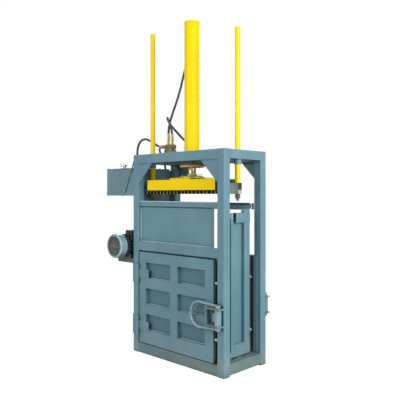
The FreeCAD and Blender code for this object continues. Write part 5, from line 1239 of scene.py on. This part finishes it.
bm = bmesh.new()
for number in range(12):
    add_loop(bm, on_motor(-0.3380), "Y", 0.010 + 0.0054 * number, 0.0009, 56, 6)
for angle in angles(36):
    ray = around_y(angle)
    add_disc(bm, 0.0008, 0.066, on_motor(-0.3372) + ray * 0.0095, ray, 6)
add_turned(bm, [(0.012, 0), (0.012, 0.002), (0.009, 0.0028)], on_motor(-0.3368), (0, -1, 0), 32)
piece_from(bm, "fan_guard_wires", stud_steel)
bm = bmesh.new()
add_loop(bm, on_motor(-0.3364), "Y", 0.0958, 0.0022, 96, 8)
add_loop(bm, on_motor(-0.2795), "Y", 0.0995, 0.0016, 96, 8)
piece_from(bm, "fan_cover_rim", rim_highlight_paint)

# %% Motor bolts, terminal lid and pump covers
BOX_X, BOX_Y = -0.585, -0.175
bm = bmesh.new()
for angle in angles(4, math.pi / 4):
    ray = around_y(angle)
    add_cap_screw(bm, on_motor(-0.2865) + ray * 0.0995, ray, 0.0045, 0.003, 0.0022)
    add_bolt(bm, on_motor(-0.0262) + ray * 0.0735, "Y", 0.015, 0.009)
    add_cap_screw(bm, on_motor(0.1218) + ray * 0.046, "Y", 0.007, 0.006, 0.0038)
for y, x in product((-0.228, -0.088), (-0.084, 0.084)):
    add_bolt(bm, on_motor(y, x, -0.0845), "Z", 0.014, 0.008)
for x, y in product((-0.037, 0.037), repeat=2):
    add_cap_screw(bm, (BOX_X + x, BOX_Y + y, 0.9838), "Z", 0.0045, 0.0035, 0.0022)
piece_from(bm, "motor_bolts", stud_steel)
bm = bmesh.new()
for half, low, high, chamfer in ((0.0445, 0.9300, 0.9560, 0.002), (0.046, 0.9555, 0.9840, 0.005)):
    add_box(bm, (BOX_X - half, BOX_Y - half, low), (BOX_X + half, BOX_Y + half, high), chamfer)
gland = [(0.013, 0), (0.013, 0.006), (0.0105, 0.007), (0.0105, 0.016)]
gland += [(0.0125, 0.017), (0.0125, 0.026), (0.008, 0.030)]
add_turned(bm, gland, (-0.5650, -0.1500, 0.9835), "Z", 32)
add_hexagon(bm, (-0.5650, -0.1500, 0.9838), "Z", 0.027, 0.006)
piece_from(bm, "terminal_lid", black_paint)
bm = bmesh.new()
for y in (0.034, 0.120):
    add_box(bm, (-0.6725, y - 0.0015, 0.8035), (-0.5875, y + 0.0015, 0.9005), 0.0012)
add_hexagon(bm, (-0.671, 0.077, 0.858), LEFT, 0.036, 0.010)
add_hexagon(bm, (-0.630, 0.077, 0.8995), "Z", 0.036, 0.010)
piece_from(bm, "pump_covers", cast_grey)

# %% Filler cap
FILLER = Vector((-0.690, -0.195, 1.506))
RIB_DEEP = 0.0022
bm = bmesh.new()
add_turned(bm, [(0.0300, 0), (0.0300, 0.0025), (0.0285, 0.0035)], FILLER, "Z", 48)
add_turned(bm, [(0.0215, 0.003), (0.0215, 0.018), (0.0235, 0.020)], FILLER, "Z", 40)
rings = []
plain_turns = [(0.0300, 0.0360, 0), (0.0280, 0.0385, 0), (0.0170, 0.0435, 0), (0.0060, 0.0449, 0)]
for radius, level, ribbed in [(0.0240, 0.0185, 0), (0.0318, 0.0195, 1), (0.0320, 0.0330, 1), *plain_turns]:
    ring = []
    for step, angle in enumerate(angles(96)):
        reach = radius - (RIB_DEEP if ribbed and step % 4 in (0, 1) else 0.0)
        ring.append(bm.verts.new(FILLER + polar(reach, angle, level)))
    rings.append(ring)
skin(bm, rings)
breather = piece_from(bm, "breather_cap", chrome, smooth_below=30)
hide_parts("filler_cap")

# %% Tank screws and seams
TANK_LEFT, TANK_RIGHT = -0.862, -0.517
bm = bmesh.new()
for angle in angles(6, math.pi / 6):
    add_cap_screw(bm, FILLER + polar(0.0258, angle, 0.0030), "Z", 0.0026, 0.0022, 0.0013)
lid_edge = [*product((TANK_LEFT, -0.776, -0.690, -0.604, TANK_RIGHT), (-0.218, 0.158))]
lid_edge += product((TANK_LEFT, TANK_RIGHT), (-0.124, -0.030, 0.064))
lid_edge.remove((-0.690, -0.218))
for x, y in lid_edge:
    add_bolt(bm, (x, y, 1.5058), "Z", 0.010, 0.005)
piece_from(bm, "tank_screws", zinc)
bm = bmesh.new()
for x, y in product((-0.874, -0.505), (-0.230, 0.170)):
    add_bead(bm, (x, y, 1.308), (x, y, 1.499), (signed(x + 0.69), signed(y + 0.03), 0), 0.003, 0.0012)
for y in (-0.2302, 0.1702):
    for z, up, wide, proud in ((1.3065, 0.6, 0.0032, 0.0022), (1.4995, -0.8, 0.0026, 0.0020)):
        add_bead(bm, (-0.872, y, z), (-0.507, y, z), (0, signed(y), up), wide, proud)
add_bead(bm, (-0.8742, -0.228, 1.3065), (-0.8742, 0.168, 1.3065), (-1, 0, 0.6), 0.0032, 0.0022)
add_bead(bm, (-0.628, -0.2402, 1.2765), (-0.660, -0.2402, 1.2765), (0, -1, 0), 0.003, 0.001)
weld_piece(bm, "tank_weld_beads", tank_paint)

# %% [markdown]
# ## Ram, flange and rods
# Six cap screws hold the hub, six the gland flange, and the guide rods' studs have a thread below
# their nuts. The screws stay low, because the hub comes up to 3 mm from the flange.

# %% Screws and threads
bm = bmesh.new()
for angle in angles(6):
    add_cap_screw(bm, polar(0.078, angle, 1.4425) + Vector((0, PRESS_Y, 0)), "Z", 0.0098, 0.0030, 0.0052)
piece_from(bm, "hub_screws", stud_steel, "ram")
bm = bmesh.new()
for angle in angles(6, math.pi / 6):
    add_cap_screw(bm, polar(0.080, angle, 1.4985) + Vector((0, PRESS_Y, 0)), DOWN, 0.0085, 0.0022, 0.0045)
add_loop(bm, (0, PRESS_Y, 1.4985), "Z", 0.0365, 0.0014, 64, 8)
piece_from(bm, "flange_screws", stud_steel)
bm = bmesh.new()
thread = []
for turn in range(7):
    at = 1.2408 + 0.0024 * turn
    thread += [(0.0099, at), (0.0108, at + 0.0006), (0.0108, at + 0.0010), (0.0099, at + 0.0016)]
for x in (-GUIDE_X, GUIDE_X):
    add_turned(bm, thread, (x, PRESS_Y, 0), "Z", 32)
    add_turned(bm, [(0.0185, 1.2900), (0.0185, 1.2882), (0.0180, 1.2880)], (x, PRESS_Y, 0), "Z", 36)
piece_from(bm, "stud_threads", stud_steel, "ram")

# %% [markdown]
# ## Small parts of the chamber
# Round-headed stops on the right posts meet the doors' free edges, and bolts stand on the side
# walls. The rim rail's rolled sheet shows a pale edge that is a painted highlight, and the rail ends
# in two black lugs at the rear posts, black as painted shade of the gap there. A packing strip fills
# the gap between the tank and its post, and a narrow bar brings each side wall's front edge close to
# the post. All are plain turned or pressed shapes, so the helpers above are enough.

# %% Bumpers, bolts, rail edges, strip, bars and lugs
bm = bmesh.new()
stop = [(0.006, 0.0), (0.006, 0.012), (0.0085, 0.0125), (0.0095, 0.014), (0.0095, 0.024), (0.0080, 0.0255)]
for y, z in product((-0.228, 0.228), (0.257, 0.657)):
    add_turned(bm, stop, (0.4352, y, z), LEFT, 32)
    add_hexagon(bm, (0.4350, y, z), LEFT, 0.019, 0.007)
piece_from(bm, "door_bumpers", bead_paint)
bm = bmesh.new()
for side, z in product((1, -1), (0.264, 0.664)):
    spot, axis = (side * 0.4058, 0.143, z), (side, 0, 0)
    add_turned(bm, [(0.0075, 0.0), (0.0075, 0.026), (0.0065, 0.027)], spot, axis, 28)
    add_bolt(bm, spot, axis, 0.024, 0.013)
piece_from(bm, "liner_bolts", bead_paint)
# The rolled edge's pale colour is a painted highlight.
bm = bmesh.new()
half_turn = [-math.pi / 2 + math.pi * step / 12 for step in range(13)]
edge = [(0.0265, angle) for angle in half_turn] + [(0.0200, angle) for angle in reversed(half_turn)]
edge = [(0.1265 + radius * math.cos(angle), 1.1965 + radius * math.sin(angle)) for radius, angle in edge]
for x in (-0.4354, 0.4346):
    add_prism(bm, edge, x, x + 0.0008)
piece_from(bm, "rim_rail_edges", edge_highlight_paint)
bm = bmesh.new()
add_box(bm, (-0.505, 0.152, 1.312), (-0.500, 0.236, 1.494), 0.0008)
piece_from(bm, "tank_packing_strip", tank_paint)
bm = bmesh.new()
for low, high in ((-0.4672, -POST_X), (POST_X, 0.4672)):
    add_box(bm, (low, -0.1260, 0.150), (high, -0.1060, 1.110), 0.001)
piece_from(bm, "wall_edge_bars", frame_paint)
# The black lugs stand for the shade between the rail's curl and the post.
bm = bmesh.new()
for x in (-0.435, 0.427):
    add_box(bm, (x, 0.1480, 1.1735), (x + 0.008, 0.1752, 1.2195), 0.0008)
piece_from(bm, "rim_rail_lugs", lug_shade_black)


def shown_box():
    """The box of every shown piece, from its real vertices: a curve's own box counts its point radius."""
    graph = bpy.context.evaluated_depsgraph_get()
    spots = []
    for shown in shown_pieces():
        shape = shown.evaluated_get(graph)
        mesh = shape.to_mesh()
        spots += [shape.matrix_world @ vertex.co for vertex in mesh.vertices]
        shape.to_mesh_clear()
    return [[pick(spot[axis] for spot in spots) for axis in range(3)] for pick in (min, max)]


bpy.context.scene.view_settings.view_transform = "Standard"
boxes = {"cad": [list(corner) for corner in cad_box], "visual": shown_box()}
print("visual box", [round(v, 3) for corner in boxes["visual"] for v in corner])
